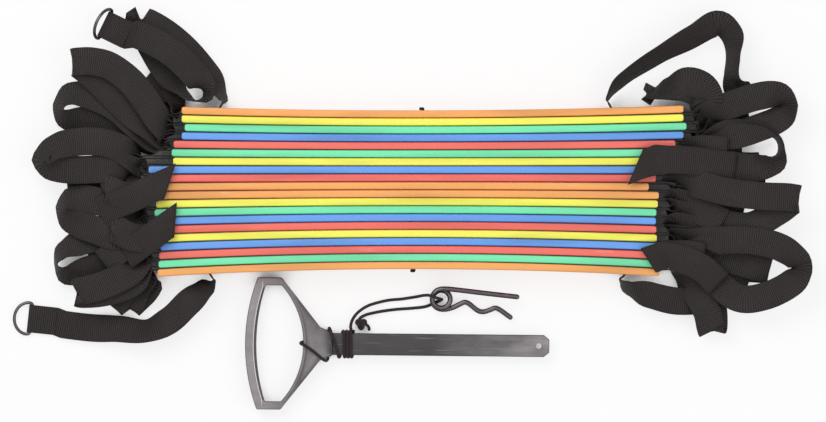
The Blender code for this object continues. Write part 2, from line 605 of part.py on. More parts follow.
def strap(name, side, loops, top_tail, top_ring, bottom_tail, bottom_ring):
    """One whole strap: ring, tail, every rung in turn with its loops, tail, ring."""
    last = RUNG_COUNT - 1
    top_exit = photo(top_tail[0][0], 0).x
    bottom_exit = photo(bottom_tail[0][0], 0).x
    way = list(reversed(tail(top_tail, top_ring)))
    way += through_outer_rung(0, side, 1, top_exit + side * STRAP_SLOT_WIDTH / 2)
    for index, loop in enumerate(loops):
        way += strap_run(free_loop(index, side, loop), LOOP_STEP)
        if index + 1 < last:
            way += through_rung(index + 1, side)
    way += through_outer_rung(last, side, -1, bottom_exit + side * STRAP_SLOT_WIDTH / 2)
    way += tail(bottom_tail, bottom_ring)
    length = sum((b[0] - a[0]).length for a, b in zip(way, way[1:]))
    print(f"{name}: {length:.2f} m of webbing, {len(way)} stations")
    return add_object(name, strap_mesh(way), material("webbing", (0.012, 0.011, 0.012), 0.8))


def tube_rings(points, radius, sides, closed=False, radii=None):
    """Rings of a round tube along points, turned as little as possible from one to the next."""
    rings = []
    count = len(points)
    normal = None
    for i, point in enumerate(points):
        before = points[i - 1] if i or closed else point
        after = points[(i + 1) % count] if i < count - 1 or closed else point
        along = (after - before).normalized()
        if normal is None:
            normal = along.orthogonal()
        normal = (normal - along * normal.dot(along)).normalized()
        other = along.cross(normal)
        size = radii[i] if radii else radius
        rings.append([point + (normal * math.cos(2 * math.pi * k / sides)
                               + other * math.sin(2 * math.pi * k / sides)) * size
                      for k in range(sides)])
    return rings


def ring_points():
    """Middle line of a D-shaped ring: across the bar, and out from it."""
    half = (RING_INSIDE_WIDTH + RING_WIRE) / 2
    straight = RING_WIRE
    points = [(-half + RING_WIRE / 2, 0), (0, 0), (half - RING_WIRE / 2, 0)]
    for step in range(11):
        angle = math.pi * step / 10
        points.append((half * math.cos(angle), straight + (RING_DEPTH - straight) * math.sin(angle)))
    return points


def strap_ring(name, ring):
    """A welded wire D-ring, turned about its bar inside the strap fold."""
    place, forward, across, tilt = ring_frame(ring)
    out = forward * math.cos(tilt) + Vector((0, 0, math.sin(tilt)))
    points = [place + across * s + out * d for s, d in ring_points()]
    normal_rings = []
    count = len(points)
    flat_normal = across.cross(out)
    for i, point in enumerate(points):
        along = (points[(i + 1) % count] - points[i - 1]).normalized()
        other = along.cross(flat_normal)
        normal_rings.append([point + (flat_normal * math.cos(math.pi * k / 4)
                                      + other * math.sin(math.pi * k / 4)) * RING_WIRE / 2
                             for k in range(8)])
    return add_object(name, loft(normal_rings, closed=True),
                      material("dark_steel", (0.05, 0.05, 0.055), 0.35, 1.0), place, math.radians(50))


def tie_places():
    """The tie runs as straight as the slipped centre slots let it: drawn taut inside each slot."""
    room = CENTRE_SLOT_LENGTH / 2 - TIE_DIAMETER
    first = photo(TIE_ENDS[0], 0).x
    last = photo(TIE_ENDS[1], 0).x
    places = [first + (last - first) * index / (RUNG_COUNT - 1) for index in range(RUNG_COUNT)]
    for _ in range(RUNG_COUNT * RUNG_COUNT):
        for index in range(RUNG_COUNT):
            middle = rung_centre_x(index)
            if 0 < index < RUNG_COUNT - 1:
                places[index] = (places[index - 1] + places[index + 1]) / 2
            places[index] = max(middle - room, min(middle + room, places[index]))
    return places


def stack_tie():
    """Cord through all the centre slots with a knot drawn up against each outer rung."""
    points = []
    radii = []
    for index, x in enumerate(tie_places()):
        points.append(Vector((x, rung_y(index, x), RUNG_HEIGHT / 2)))
        radii.append(TIE_DIAMETER / 2)
    for end, face in ((0, 1), (-1, -1)):
        seat = points[end] + Vector((0, face * (RUNG_THICKNESS / 2 - RECESS_DEPTH + CORD_CLEARANCE), 0))
        knot = []
        for share, size in ((0.0, 0.5), (0.1, 0.8), (0.5, 1.0), (0.85, 0.7), (1.0, 0.3)):
            knot.append((seat + Vector((0, face * share * TIE_KNOT_LENGTH, 0)), size * TIE_KNOT_RADIUS))
        if end == 0:
            points = [place for place, _ in reversed(knot)] + points
            radii = [size for _, size in reversed(knot)] + radii
        else:
            points += [place for place, _ in knot]
            radii += [size for _, size in knot]
    return add_object("stack_tie_cord", loft(tube_rings(points, 0, 8, radii=radii)),
                      material("cord", (0.02, 0.016, 0.015), 0.8), Vector((0, 0, 0)), math.radians(60))


def cord(name, points, diameter, parent=None):
    """A round cord along points, as a curve with a bevel."""
    curve = bpy.data.curves.new(name, "CURVE")
    curve.dimensions = "3D"
    spline = curve.splines.new("POLY")
    spline.points.add(len(points) - 1)
    for knot, point in zip(spline.points, points):
        knot.co = (*point, 1)
    curve.bevel_depth = diameter / 2
    curve.bevel_resolution = 2
    curve.use_fill_caps = True
    curve.materials.append(material("cord", (0.02, 0.016, 0.015), 0.8))
    thing = bpy.data.objects.new(name, curve)
    bpy.context.collection.objects.link(thing)
    thing.parent = parent
    return thing


def arc_through(start, middle, end, count):
    """Points on the circle through three places of an outline, both ends included."""
    chord = (end - start).length
    sagitta = (middle - (start + end) / 2).length
    radius = (chord * chord / 4 + sagitta * sagitta) / (2 * sagitta)
    inward = ((start + end) / 2 - middle).normalized()
    centre = middle + inward * radius
    half = math.asin(chord / 2 / radius)
    across = (end - start).normalized()
    return [centre - inward * radius * math.cos(half * s) + across * radius * math.sin(half * s)
            for s in (2 * i / count - 1 for i in range(count + 1))]


def handle_outline():
    """Outer edge of the handle, from the bottom of the grip bow round to the neck and back."""
    half = HANDLE_LENGTH / 2
    bow = arc_through(Vector((HANDLE_BOW, half)), Vector((0, 0)), Vector((HANDLE_BOW, -half)), 10)
    end_x = HANDLE_BOW + HANDLE_END_WIDTH
    throat_x = HANDLE_DEPTH - NECK_LENGTH
    neck = BAR_WIDTH / 2 + NECK_LIP
    lower = [Vector((end_x, -half)), Vector((throat_x, -THROAT_WIDTH / 2)), Vector((HANDLE_DEPTH, -neck))]
    upper = [Vector((point.x, -point.y)) for point in reversed(lower)]
    return bow + lower + upper


def hole_outline(grow=0.0):
    """Edge of the hand hole, grown outwards to leave a rib beside it."""
    half = HANDLE_LENGTH / 2 - HANDLE_END_WALL + grow
    near = HANDLE_BOW + HANDLE_END_WALL - grow
    far = HANDLE_BOW + HANDLE_END_WIDTH + grow / 2
    grip = arc_through(Vector((near, half)), Vector((GRIP_WALL - grow, 0)), Vector((near, -half)), 8)
    belly = arc_through(Vector((far, -half)), Vector((far + HAND_HOLE_BELLY + grow / 2, 0)),
                        Vector((far, half)), 8)
    return grip + belly


def inset(outline, distance):
    """Move each side of a closed outline inwards; outlines here run against the clock."""
    moved = []
    count = len(outline)
    for i, point in enumerate(outline):
        before = (point - outline[i - 1]).normalized()
        after = (outline[(i + 1) % count] - point).normalized()
        inward = Vector((-before.y - after.y, before.x + after.x)).normalized()
        lean = inward.dot(Vector((-before.y, before.x)))
        moved.append(point + inward * distance / lean)
    return moved


def slab(outline, low, high, chamfer=0.0):
    """Stand an outline up between two heights, with both rims chamfered."""
    layers = [(low, chamfer), (low + chamfer, 0.0), (high - chamfer, 0.0), (high, chamfer)]
    if not chamfer:
        layers = [(low, 0.0), (high, 0.0)]
    return loft([[point.to_3d() + Vector((0, 0, height)) for point in
                  (inset(outline, depth) if depth else outline)] for height, depth in layers])


def throat_outline():
    """Sunk web of the throat, between the hole's rib and the outer rib."""
    outer = inset(handle_outline(), POCKET_WALL)
    left = HANDLE_BOW + HANDLE_END_WALL + POCKET_WALL
    return [Vector((max(point.x, left), point.y)) for point in outer[:1] + outer[10:]]


def bar_outline():
    half = BAR_WIDTH / 2
    start = HANDLE_DEPTH - NECK_LENGTH
    tip = HANDLE_DEPTH + BAR_LENGTH
    cut = BAR_TIP_CUT * 0.8
    return [Vector(pair) for pair in ((start, -half), (tip - BAR_TIP_CUT, -half), (tip, cut - half),
                                      (tip, half - cut), (tip - BAR_TIP_CUT, half), (start, half))]


def holder(frame):
    """The carrying holder, one moulding: D-handle with sunk webs, neck and flat bar with its hole."""
    plastic = material("holder_plastic", (0.06, 0.055, 0.058), 0.38)
    thing = add_object("holder_handle", slab(handle_outline(), 0, HANDLE_THICKNESS, HANDLE_CHAMFER),
                       plastic)
    middle = HANDLE_THICKNESS / 2
    low = middle - BAR_THICKNESS / 2
    bar = cutter("bar_shape", slab(bar_outline(), low, low + BAR_THICKNESS, BAR_CHAMFER), frame)
    hole = cutter("hand_hole_cut", slab(hole_outline(), -CUT_OVERRUN, HANDLE_THICKNESS + CUT_OVERRUN), frame)
    rib = cutter("rib_keep", slab(hole_outline(POCKET_WALL), -2 * CUT_OVERRUN,
                                  HANDLE_THICKNESS + 2 * CUT_OVERRUN), frame)
    for face, start in (("top", HANDLE_THICKNESS - POCKET_DEPTH), ("under", -CUT_OVERRUN)):
        pocket = cutter(f"{face}_pocket_cut", slab(throat_outline(), start,
                                                   start + POCKET_DEPTH + CUT_OVERRUN), frame)
        combine(pocket, rib)
        combine(thing, pocket)
    combine(thing, bar, "UNION")
    combine(thing, hole)
    builder = bmesh.new()
    bmesh.ops.create_cone(builder, cap_ends=True, segments=16, radius1=CLIP_HOLE_DIAMETER / 2,
                          radius2=CLIP_HOLE_DIAMETER / 2, depth=HANDLE_THICKNESS)
    bmesh.ops.translate(builder, verts=builder.verts[:],
                        vec=(HANDLE_DEPTH + BAR_LENGTH - CLIP_HOLE_FROM_TIP, 0, middle))
    combine(thing, cutter("clip_hole_cut", builder, frame))
    thing.parent = frame
    return thing


def lashing_points():
    """Cord up through the hand hole, over the throat, round the neck and wound round the bar."""
    points = [Vector((x, y, z)) for x, y, z in LASHING_ROUTE]
    reach = CORD_CLEARANCE + CORD_DIAMETER / 2
    half_y = BAR_WIDTH / 2
    half_z = BAR_THICKNESS / 2
    lean = reach * math.sqrt(0.5)
    quarter = ((half_y + reach, 0), (half_y + reach, half_z), (half_y + lean, half_z + lean),
               (half_y, half_z + reach))
    turn = [*quarter, *((-y, z) for y, z in reversed(quarter)), *((-y, -z) for y, z in quarter[1:]),
            *((y, -z) for y, z in reversed(quarter[1:]))]
    pitch = CORD_DIAMETER + CORD_CLEARANCE
    around = [(2 * math.pi * i / len(turn), pair) for i, pair in enumerate(turn)]
    for lap in range(LASHING_TURNS):
        for angle, (y, z) in around:
            x = HANDLE_DEPTH + LASHING_FROM_NECK + pitch * (lap + angle / (2 * math.pi))
            points.append(Vector((x, y, HANDLE_THICKNESS / 2 + z)))
    points.append(Vector((HANDLE_DEPTH + LASHING_FROM_NECK + pitch * LASHING_TURNS, half_y + reach,
                          HANDLE_THICKNESS / 2)))
    return points


def lashing(frame):
    return cord("lashing_cord", smooth_route(lashing_points(), CORD_DIAMETER * 3), CORD_DIAMETER, frame)


def lanyard():
    """Cord from the lashing to the clip's eye, through it and back to the knot."""
    points = [photo(x, y, height) for x, y, height in (*LANYARD_OUT, *LANYARD_BACK)]
    return cord("lanyard_cord", smooth_route(points, CORD_DIAMETER * 2), CORD_DIAMETER)


def lanyard_knot():
    """The lump where the lanyard is tied off: one strand drawn into a three-lobed knot."""
    centre = photo(*KNOT_PLACE, KNOT_HEIGHT)
    points = []
    steps = 30
    for step in range(steps):
        t = 2 * math.pi * step / steps
        points.append(centre + Vector((math.sin(t) + 2 * math.sin(2 * t), math.cos(t) - 2 * math.cos(2 * t), 0))
                      * KNOT_LOBE + Vector((0, 0, -math.sin(3 * t) * KNOT_RISE)))
    rings = tube_rings(points, CORD_DIAMETER / 2, 6, closed=True)
    return add_object("lanyard_knot", facets(loft(rings, closed=True)), material("cord", (0.02, 0.016, 0.015), 0.8),
                      Vector((0, 0, 0)), math.radians(60))


def clip_points():
    """Middle line of the spring clip: straight leg, coiled eye and waved leg."""
    rise = CLIP_WIRE + COIL_CLEARANCE
    steps = 12
    points = [Vector((reach, across, rise * CLIP_EYE_TURNS)) for reach, across in STRAIGHT_LEG]
    count = round(CLIP_EYE_TURNS * steps)
    for step in range(count + 1):
        share = step / count
        angle = math.pi / 2 + 2 * math.pi * CLIP_EYE_TURNS * share
        radius = CLIP_EYE_RADIUS + CLIP_EYE_SPREAD * (2 * share - 1) ** 2
        points.append(Vector((radius * math.cos(angle), radius * math.sin(angle),
                              rise * CLIP_EYE_TURNS * (1 - share))))
    points.extend(Vector((reach, across, 0)) for reach, across in WAVED_LEG)
    return points


def spring_clip():
    """The bent wire clip, standing on the cord under its eye."""
    eye = photo(*CLIP_EYE_PLACE, CLIP_LIFT + CLIP_WIRE / 2)
    points = [eye + point for point in smooth_route(clip_points(), CLIP_WIRE * 2)]
    return add_object("r_clip", facets(loft(tube_rings(points, CLIP_WIRE / 2, 8))),
                      material("dark_steel", (0.05, 0.05, 0.055), 0.35, 1.0), eye, math.radians(50))


def holder_group():
    """Holder, lashing, lanyard, knot and clip, which are carried together."""
    frame = bpy.data.objects.new("holder_frame", None)
    bpy.context.collection.objects.link(frame)
    frame.location = photo(*GRIP_PLACE, HOLDER_LIFT)
    frame.rotation_euler = (0, 0, HOLDER_TURN)
    holder(frame)
    lashing(frame)
    lanyard()
    lanyard_knot()
    spring_clip()


def main():
    for thing in list(bpy.data.objects):
        bpy.data.objects.remove(thing, do_unlink=True)
    for index in range(RUNG_COUNT):
        rung(index)
    stack_tie()
    strap("strap_left", -1, LEFT_LOOPS, TAIL_LEFT_TOP, RING_LEFT_TOP, TAIL_LEFT_BOTTOM, RING_LEFT_BOTTOM)
    strap("strap_right", 1, RIGHT_LOOPS, TAIL_RIGHT_TOP, None, TAIL_RIGHT_BOTTOM, None)
    strap_ring("d_ring_upper", RING_LEFT_TOP)
    strap_ring("d_ring_lower", RING_LEFT_BOTTOM)
    holder_group()


main()
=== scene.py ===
# %% [markdown]
# # A folded agility ladder and its carrying holder
# An agility ladder lies flat in use. Put away, its rungs stand on edge in one tight stack, and the two
# straps that space them hang out in loops at both ends. Beside the stack lies the holder that the rungs
# are threaded onto. The measured model comes in first. It fixes every place and every moving part, and
# the cells below dress it, one kind of piece at a time.

# %% Load the measured model
import json
import math

import bmesh
import bpy
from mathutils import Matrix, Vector

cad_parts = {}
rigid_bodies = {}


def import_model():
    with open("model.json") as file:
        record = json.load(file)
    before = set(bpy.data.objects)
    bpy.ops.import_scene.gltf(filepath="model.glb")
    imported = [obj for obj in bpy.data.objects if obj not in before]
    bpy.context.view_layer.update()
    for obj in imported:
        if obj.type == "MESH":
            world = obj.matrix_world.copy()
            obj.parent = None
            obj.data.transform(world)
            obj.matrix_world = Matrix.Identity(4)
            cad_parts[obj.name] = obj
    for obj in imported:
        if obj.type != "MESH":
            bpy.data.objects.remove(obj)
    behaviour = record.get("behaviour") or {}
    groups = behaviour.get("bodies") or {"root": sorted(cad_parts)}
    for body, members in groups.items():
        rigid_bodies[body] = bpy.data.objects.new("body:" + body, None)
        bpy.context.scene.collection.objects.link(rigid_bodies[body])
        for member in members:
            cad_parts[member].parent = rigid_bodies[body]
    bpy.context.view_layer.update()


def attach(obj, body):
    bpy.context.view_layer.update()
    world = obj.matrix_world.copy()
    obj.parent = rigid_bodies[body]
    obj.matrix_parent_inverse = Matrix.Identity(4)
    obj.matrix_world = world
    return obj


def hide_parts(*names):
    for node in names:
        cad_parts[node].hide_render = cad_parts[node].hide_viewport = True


for leftover in list(bpy.data.objects):
    bpy.data.objects.remove(leftover, do_unlink=True)
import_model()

# %% [markdown]
# ## Reading the photograph
# The picture was taken from straight above, so a place in it is a place on the table. One pixel is
# 0.9 mm. That comes from the webbing, which is 25 mm wide on nearly every ladder of this kind. This small
# function turns a pixel and a height into a point, and the routes of all soft pieces use it.

# %% Pixels to metres
METRES_PER_PIXEL = 0.0009
CENTRE_PIXEL = (411.5, 209.0)
PHOTO_SIZE = (826, 422)


def photo(x, y, z=0.0):
    return Vector(((x - CENTRE_PIXEL[0]) * METRES_PER_PIXEL, (CENTRE_PIXEL[1] - y) * METRES_PER_PIXEL, z))


print("photograph covers", round(PHOTO_SIZE[0] * METRES_PER_PIXEL, 3), "m across")

# %% [markdown]
# ## Camera
# A long lens from far away gives the flat look of the picture, with almost no side of a rung in view.
# The camera stands 5 m above the table, and the lens follows from the width that it has to take in.

# %% Camera above the table
CAMERA_HEIGHT = 5.0
LOOK_HEIGHT = 0.016
camera_data = bpy.data.cameras.new("camera")
camera_data.lens = camera_data.sensor_width * CAMERA_HEIGHT / (PHOTO_SIZE[0] * METRES_PER_PIXEL)
camera_data.clip_end = 100
camera = bpy.data.objects.new("camera", camera_data)
bpy.context.scene.collection.objects.link(camera)
camera.location = photo(PHOTO_SIZE[0] / 2, PHOTO_SIZE[1] / 2, CAMERA_HEIGHT + LOOK_HEIGHT)
bpy.context.scene.camera = camera
bpy.context.scene.view_settings.view_transform = "Standard"
print("lens", round(camera_data.lens), "mm")

# %% [markdown]
# ## Colours and nodes
# Colours are picked from a screen, so they are sRGB values, and Blender's shaders want linear light.
# `linear` does that sum. `add` puts one node into a tree, sets it and links it, so that a material reads
# as a short list of what the finish is made of. The settings below come back in many trees.

# %% Colour and node helpers
TIMES, PLUS, MINUS, OVER = ({"operation": name} for name in ("MULTIPLY", "ADD", "SUBTRACT", "DIVIDE"))
SINE, SIZE, SIGN, LESSER = ({"operation": name} for name in ("SINE", "ABSOLUTE", "SIGN", "MINIMUM"))
SMOOTH = {"interpolation_type": "SMOOTHSTEP"}
NUMBERS = {"data_type": "FLOAT"}
COLOURS = {"data_type": "RGBA"}
TINTED = {"data_type": "RGBA", "blend_type": "MULTIPLY"}


def linear(hex_colour):
    """From an sRGB hex value to linear light. The numbers are those of the sRGB curve."""
    parts = [int(hex_colour[i:i + 2], 16) / 255 for i in (1, 3, 5)]
    return (*(p / 12.92 if p <= 0.04045 else ((p + 0.055) / 1.055) ** 2.4 for p in parts), 1.0)


def add(tree, kind, settings=None, **inputs):
    """Add a node. An input is called by its name, or by its number after an underscore. Its value may be
    a node, which is linked by its first output in use."""
    node = tree.nodes.new(kind)
    for name, value in (settings or {}).items():
        setattr(node, name, value)
    for name, value in inputs.items():
        label = name.replace("_", " ")
        if name[0] == "_":
            socket = node.inputs[int(name[1:])]
        else:
            socket = next(entry for entry in node.inputs if entry.name == label and entry.enabled)
        if isinstance(value, bpy.types.Node):
            value = next(output for output in value.outputs if output.enabled)
        if isinstance(value, bpy.types.NodeSocket):
            tree.links.new(value, socket)
        else:
            socket.default_value = value
    return node


def scaled(colour, factor):
    """A linear colour made lighter or darker."""
    return tuple(min(1.0, factor * part) for part in colour[:3]) + (1.0,)


def start_material(name):
    made = bpy.data.materials.new(name)
    made.use_nodes = True
    made.node_tree.nodes.clear()
    return made, made.node_tree


print("white is", linear("#ffffff"))

# %% [markdown]
# ## Table and light
# The picture has a white ground and soft light from all sides. A wide lamp overhead gives the shapes
# their shading, and the world is a dome that is brighter overhead than at the horizon, so that sides are
# darker than tops. The table is white to the camera by its own colour and a share of plain emission, so
# the lamps can stay at the level where a colour renders as it is written. In the slits between rungs and
# loops the table's colour and glow are turned down to a dark grey, a painted shade, and ambient occlusion
# tells where those are.

# %% Table, lamps and world
HORIZON_STRENGTH = 0.15
ZENITH_STRENGTH = 0.88
GLOW_SHARE = 0.78
SLIT_GLOW = 0.03
SLIT_DEPTH = 0.03
SLIT_SHARES = (0.10, 0.48)
TABLE_HEX = "#fbfbfb"
SLIT_PAINTED_SHADE_HEX = "#2c2a2a"
FLOOR_REACH = 40.0
LAMPS = (("lamp_over", (-0.7, 0.9, 1.6), 1.2, 13.0), ("lamp_side", (0.9, -0.4, 1.3), 1.0, 4.0))

floor_finish, tree = start_material("white_table")
seen = add(tree, "ShaderNodeLightPath")
either = add(tree, "ShaderNodeMath", {"operation": "MAXIMUM"}, _0=seen.outputs["Is Camera Ray"],
             _1=seen.outputs["Is Glossy Ray"])
open_sky = add(tree, "ShaderNodeAmbientOcclusion", {"samples": 12}, Distance=SLIT_DEPTH)
open_share = add(tree, "ShaderNodeMapRange", SMOOTH, Value=open_sky.outputs["AO"],
                 From_Min=SLIT_SHARES[0], From_Max=SLIT_SHARES[1])
bright = add(tree, "ShaderNodeMapRange", Value=open_share, To_Min=SLIT_GLOW, To_Max=GLOW_SHARE)
share = add(tree, "ShaderNodeMath", TIMES, _0=either, _1=bright)
# The table's colour turns dark in the slits by ambient occlusion: painted shade.
table_colour_with_painted_shade = add(tree, "ShaderNodeMix", COLOURS, Factor=open_share, A=linear(SLIT_PAINTED_SHADE_HEX), B=linear(TABLE_HEX))
matt = add(tree, "ShaderNodeBsdfDiffuse", Color=table_colour_with_painted_shade)
glow = add(tree, "ShaderNodeEmission", Color=(1, 1, 1, 1), Strength=1.0)
shown = add(tree, "ShaderNodeMixShader", _0=share, _1=matt, _2=glow)
add(tree, "ShaderNodeOutputMaterial", Surface=shown)

corners = [(x * FLOOR_REACH, y * FLOOR_REACH, 0) for x, y in ((-1, -1), (1, -1), (1, 1), (-1, 1))]
table_mesh = bpy.data.meshes.new("table")
table_mesh.from_pydata(corners, [], [(0, 1, 2, 3)])
table_mesh.materials.append(floor_finish)
table = bpy.data.objects.new("table", table_mesh)
bpy.context.scene.collection.objects.link(table)

for name, place, size, power in LAMPS:
    lamp_data = bpy.data.lights.new(name, "AREA")
    lamp_data.size = size
    lamp_data.energy = power
    lamp = bpy.data.objects.new(name, lamp_data)
    bpy.context.scene.collection.objects.link(lamp)
    lamp.location = place
    lamp.rotation_euler = (-Vector(place)).to_track_quat("-Z", "Y").to_euler()

world = bpy.data.worlds.new("studio")
bpy.context.scene.world = world
world.use_nodes = True
tree = world.node_tree
tree.nodes.clear()
seen = add(tree, "ShaderNodeLightPath")
towards = add(tree, "ShaderNodeSeparateXYZ", Vector=add(tree, "ShaderNodeTexCoord").outputs["Generated"])
dome = add(tree, "ShaderNodeMapRange", Value=towards.outputs["Z"], To_Min=HORIZON_STRENGTH,
           To_Max=ZENITH_STRENGTH)
level = add(tree, "ShaderNodeMix", NUMBERS, Factor=seen.outputs["Is Camera Ray"], A=dome, B=1.0)
sky = add(tree, "ShaderNodeBackground", Color=(1, 1, 1, 1), Strength=level)
add(tree, "ShaderNodeOutputWorld", Surface=sky)
print("lamps", [name for name, *_ in LAMPS])

# %% [markdown]
# ## Moulded plastic for the rungs
# The rungs are injection moulded in coloured polypropylene. Light goes a little way into it, so it is
# slightly milky. A rung's crest is painted brighter and paler, a painted highlight, and its sides a deeper
# colour, a painted shade. The mould leaves a fine grain, use leaves pale scuffs that run along the rung,
# and no two batches of colour are quite even. All of this is in one recipe, and only the two colours, of
# the lit crest and the shaded sides, differ between the rungs.

# %% Rung plastic
# Crest colours are painted highlight, side colours painted shade.
LIT_CREST_HEXES = {"orange": "#fcb064", "yellow": "#fcf962", "green": "#7cf0b6", "blue": "#6ca5f2",
               "red": "#f87468"}
SHADED_SIDE_HEXES = {"orange": "#ee8040", "yellow": "#eedc28", "green": "#38bc7e", "blue": "#3c70cc",
              "red": "#d64548"}
RUNG_HEIGHT = 0.032
CREST_DROP = 0.0012
BATCHES_PER_METRE = 60.0
BATCH_STRETCH = 0.12
BATCH_SHARES = (0.25, 0.55)
BATCH_DEPTH = 0.72
SCUFF_LENGTH = 0.009
SCUFF_SHARES = (0.64, 0.78)
SCUFF_STRENGTH = 0.55
SCUFF_WHITE = 0.45
SCUFF_GLOSS = (0.30, 0.75, 0.30, 0.55)
MOULD_GRAIN_SIZE = 0.0009
MOULD_GRAIN_DEPTH = 0.0002
POLYPROPYLENE_IOR = 1.49
MILK_WEIGHT = 0.08
MILK_DEPTH = 0.002


def moulded_plastic(name, lit_crest_hex, shaded_side_hex):
    """Coloured polypropylene with mould grain, uneven pigment and scuffs along its length."""
    made, tree = start_material(name)
    base = linear(lit_crest_hex)
    paler = tuple((1 - SCUFF_WHITE) * part + SCUFF_WHITE for part in base[:3]) + (1.0,)
    place = add(tree, "ShaderNodeTexCoord").outputs["Object"]
    stretched = add(tree, "ShaderNodeMapping", Vector=place, Scale=(BATCH_STRETCH, 1.0, 1.0))
    batch = add(tree, "ShaderNodeTexNoise", Vector=stretched, Scale=BATCHES_PER_METRE, Detail=3.0)
    pigment = add(tree, "ShaderNodeValToRGB", _0=batch)
    for stop, position, colour in zip(pigment.color_ramp.elements, BATCH_SHARES,
                                      (scaled(base, BATCH_DEPTH), base)):
        stop.position = position
        stop.color = colour
    marks = add(tree, "ShaderNodeTexNoise", Vector=stretched, Scale=1 / SCUFF_LENGTH, Detail=6.0,
                Roughness=0.7)
    scuffed = add(tree, "ShaderNodeMapRange", Value=marks, From_Min=SCUFF_SHARES[0],
                  From_Max=SCUFF_SHARES[1], To_Max=SCUFF_STRENGTH)
    height = add(tree, "ShaderNodeSeparateXYZ", Vector=place).outputs["Z"]
    # The crest gets the lit colour and the sides the shaded one: painted highlight and painted shade.
    painted_lit_crest = add(tree, "ShaderNodeMapRange", SMOOTH, Value=height, From_Min=RUNG_HEIGHT - CREST_DROP,
                From_Max=RUNG_HEIGHT - CREST_DROP / 6)
    painted_crest_and_side_light = add(tree, "ShaderNodeMix", COLOURS, Factor=painted_lit_crest, A=linear(shaded_side_hex), B=pigment)
    colour = add(tree, "ShaderNodeMix", COLOURS, Factor=scuffed, A=painted_crest_and_side_light, B=paler)
    grain = add(tree, "ShaderNodeTexNoise", Vector=place, Scale=1 / MOULD_GRAIN_SIZE, Detail=2.0)
    relief = add(tree, "ShaderNodeBump", Strength=0.16, Distance=MOULD_GRAIN_DEPTH, Height=grain)
    low, high, smooth, dull = SCUFF_GLOSS
    gloss = add(tree, "ShaderNodeMapRange", Value=marks, From_Min=low, From_Max=high, To_Min=smooth,
                To_Max=dull)
    shader = add(tree, "ShaderNodeBsdfPrincipled", Base_Color=colour, Roughness=gloss,
                 IOR=POLYPROPYLENE_IOR, Subsurface_Weight=MILK_WEIGHT, Subsurface_Radius=(0.6, 0.6, 0.6),
                 Subsurface_Scale=MILK_DEPTH, Normal=relief)
    add(tree, "ShaderNodeOutputMaterial", Surface=shader)
    return made


rung_finishes = {name: moulded_plastic(f"moulded_polypropylene_{name}", lit_crest_hex, SHADED_SIDE_HEXES[name])
                 for name, lit_crest_hex in LIT_CREST_HEXES.items()}
print("rung finishes", sorted(rung_finishes))

# %% [markdown]
# ## Where each rung stands
# The stack is tied tight by a cord through the middle, and the straps push the ends apart, so the outer
# rungs bow a little. Each rung has also slipped its own way to the left or right. These few rules give
# every rung's line, and the straps use them again to find their way through.

# %% Rung places
RUNG_COUNT = 20
RUNG_LENGTH = 0.450
RUNG_THICKNESS = 0.0060
RIM_HEIGHT = 0.0029
RECESS_DEPTH = 0.0012
STACK_GAP_MIDDLE = 0.00115
STACK_GAP_END = 0.0017
STACK_CENTRE_Y_END = 0.0159
STACK_CENTRE_Y_MIDDLE = 0.0173
CENTRE_SLOT_LENGTH = 0.024
CENTRE_SLOT_HEIGHT = 0.0070
STRAP_SLOT_WIDTH = 0.0050
STRAP_SLOT_HEIGHT = 0.0258
STRAP_SLOT_FROM_END = 0.0230
RUNG_ORDER = ("orange", "yellow", "green", "blue", "red", "green", "yellow", "blue", "red", "orange",
              "orange", "yellow", "green", "blue", "red", "yellow", "blue", "red", "green", "orange")
RUNG_SHIFT_SHARES = (0.042, 0.042, 0.048, 0.042, 0.026, 0.022, 0.025, -0.024, -0.013, -0.027,
                     -0.007, -0.009, -0.012, -0.013, -0.012, -0.011, 0.000, -0.003, -0.004, -0.006)


def rung_centre_x(index):
    return RUNG_SHIFT_SHARES[index] * RUNG_LENGTH


def rung_line(index):
    """The y of a rung's middle line at the rung's ends, and at the tie."""
    place = (RUNG_COUNT - 1) / 2 - index
    return (STACK_CENTRE_Y_END + place * (RUNG_THICKNESS + STACK_GAP_END),
            STACK_CENTRE_Y_MIDDLE + place * (RUNG_THICKNESS + STACK_GAP_MIDDLE))


def rung_y(index, x):
    end, middle = rung_line(index)
    return end + (middle - end) * (1 - (x / (RUNG_LENGTH / 2)) ** 2)


def rung_end_x(index, side):
    return rung_centre_x(index) + side * RUNG_LENGTH / 2


def strap_slot_x(index, side):
    return rung_end_x(index, side) - side * STRAP_SLOT_FROM_END


print("stack is", round((rung_y(0, 0) - rung_y(RUNG_COUNT - 1, 0)) * 1000), "mm deep at the tie")

# %% [markdown]
# ## The rung as a rule
# Every rung is the same moulding: a web with a rounded rim along its top and bottom, a long slot in the
# middle for the holder's bar, and an upright slot near each end for the strap. A node tree suits that
# better than twenty edited meshes. Its inputs are the sizes that a toolmaker would write on the drawing,
# and one rung differs from the next only in where it stands, how it bows and its colour. The web comes
# first, as an outline with its slots that is filled and given a thickness.

# %% Web of a rung
WELD_DISTANCE = 0.00001
SLOT_ROUND = 0.0012
SLOT_ROUND_STEPS = 4
WEB_STATIONS = 120


def slot_outline(tree, length, height, x):
    """A slot with rounded corners, drawn flat, ready to be cut from the web's outline."""
    shape = add(tree, "GeometryNodeCurvePrimitiveQuadrilateral", Width=length, Height=height)
    eased = add(tree, "GeometryNodeFilletCurve", {"mode": "POLY"}, Curve=shape, Count=SLOT_ROUND_STEPS,
                Radius=SLOT_ROUND, Limit_Radius=True)
    shift = add(tree, "ShaderNodeCombineXYZ", X=x)
    return add(tree, "GeometryNodeTransform", Geometry=eased, Translation=shift)


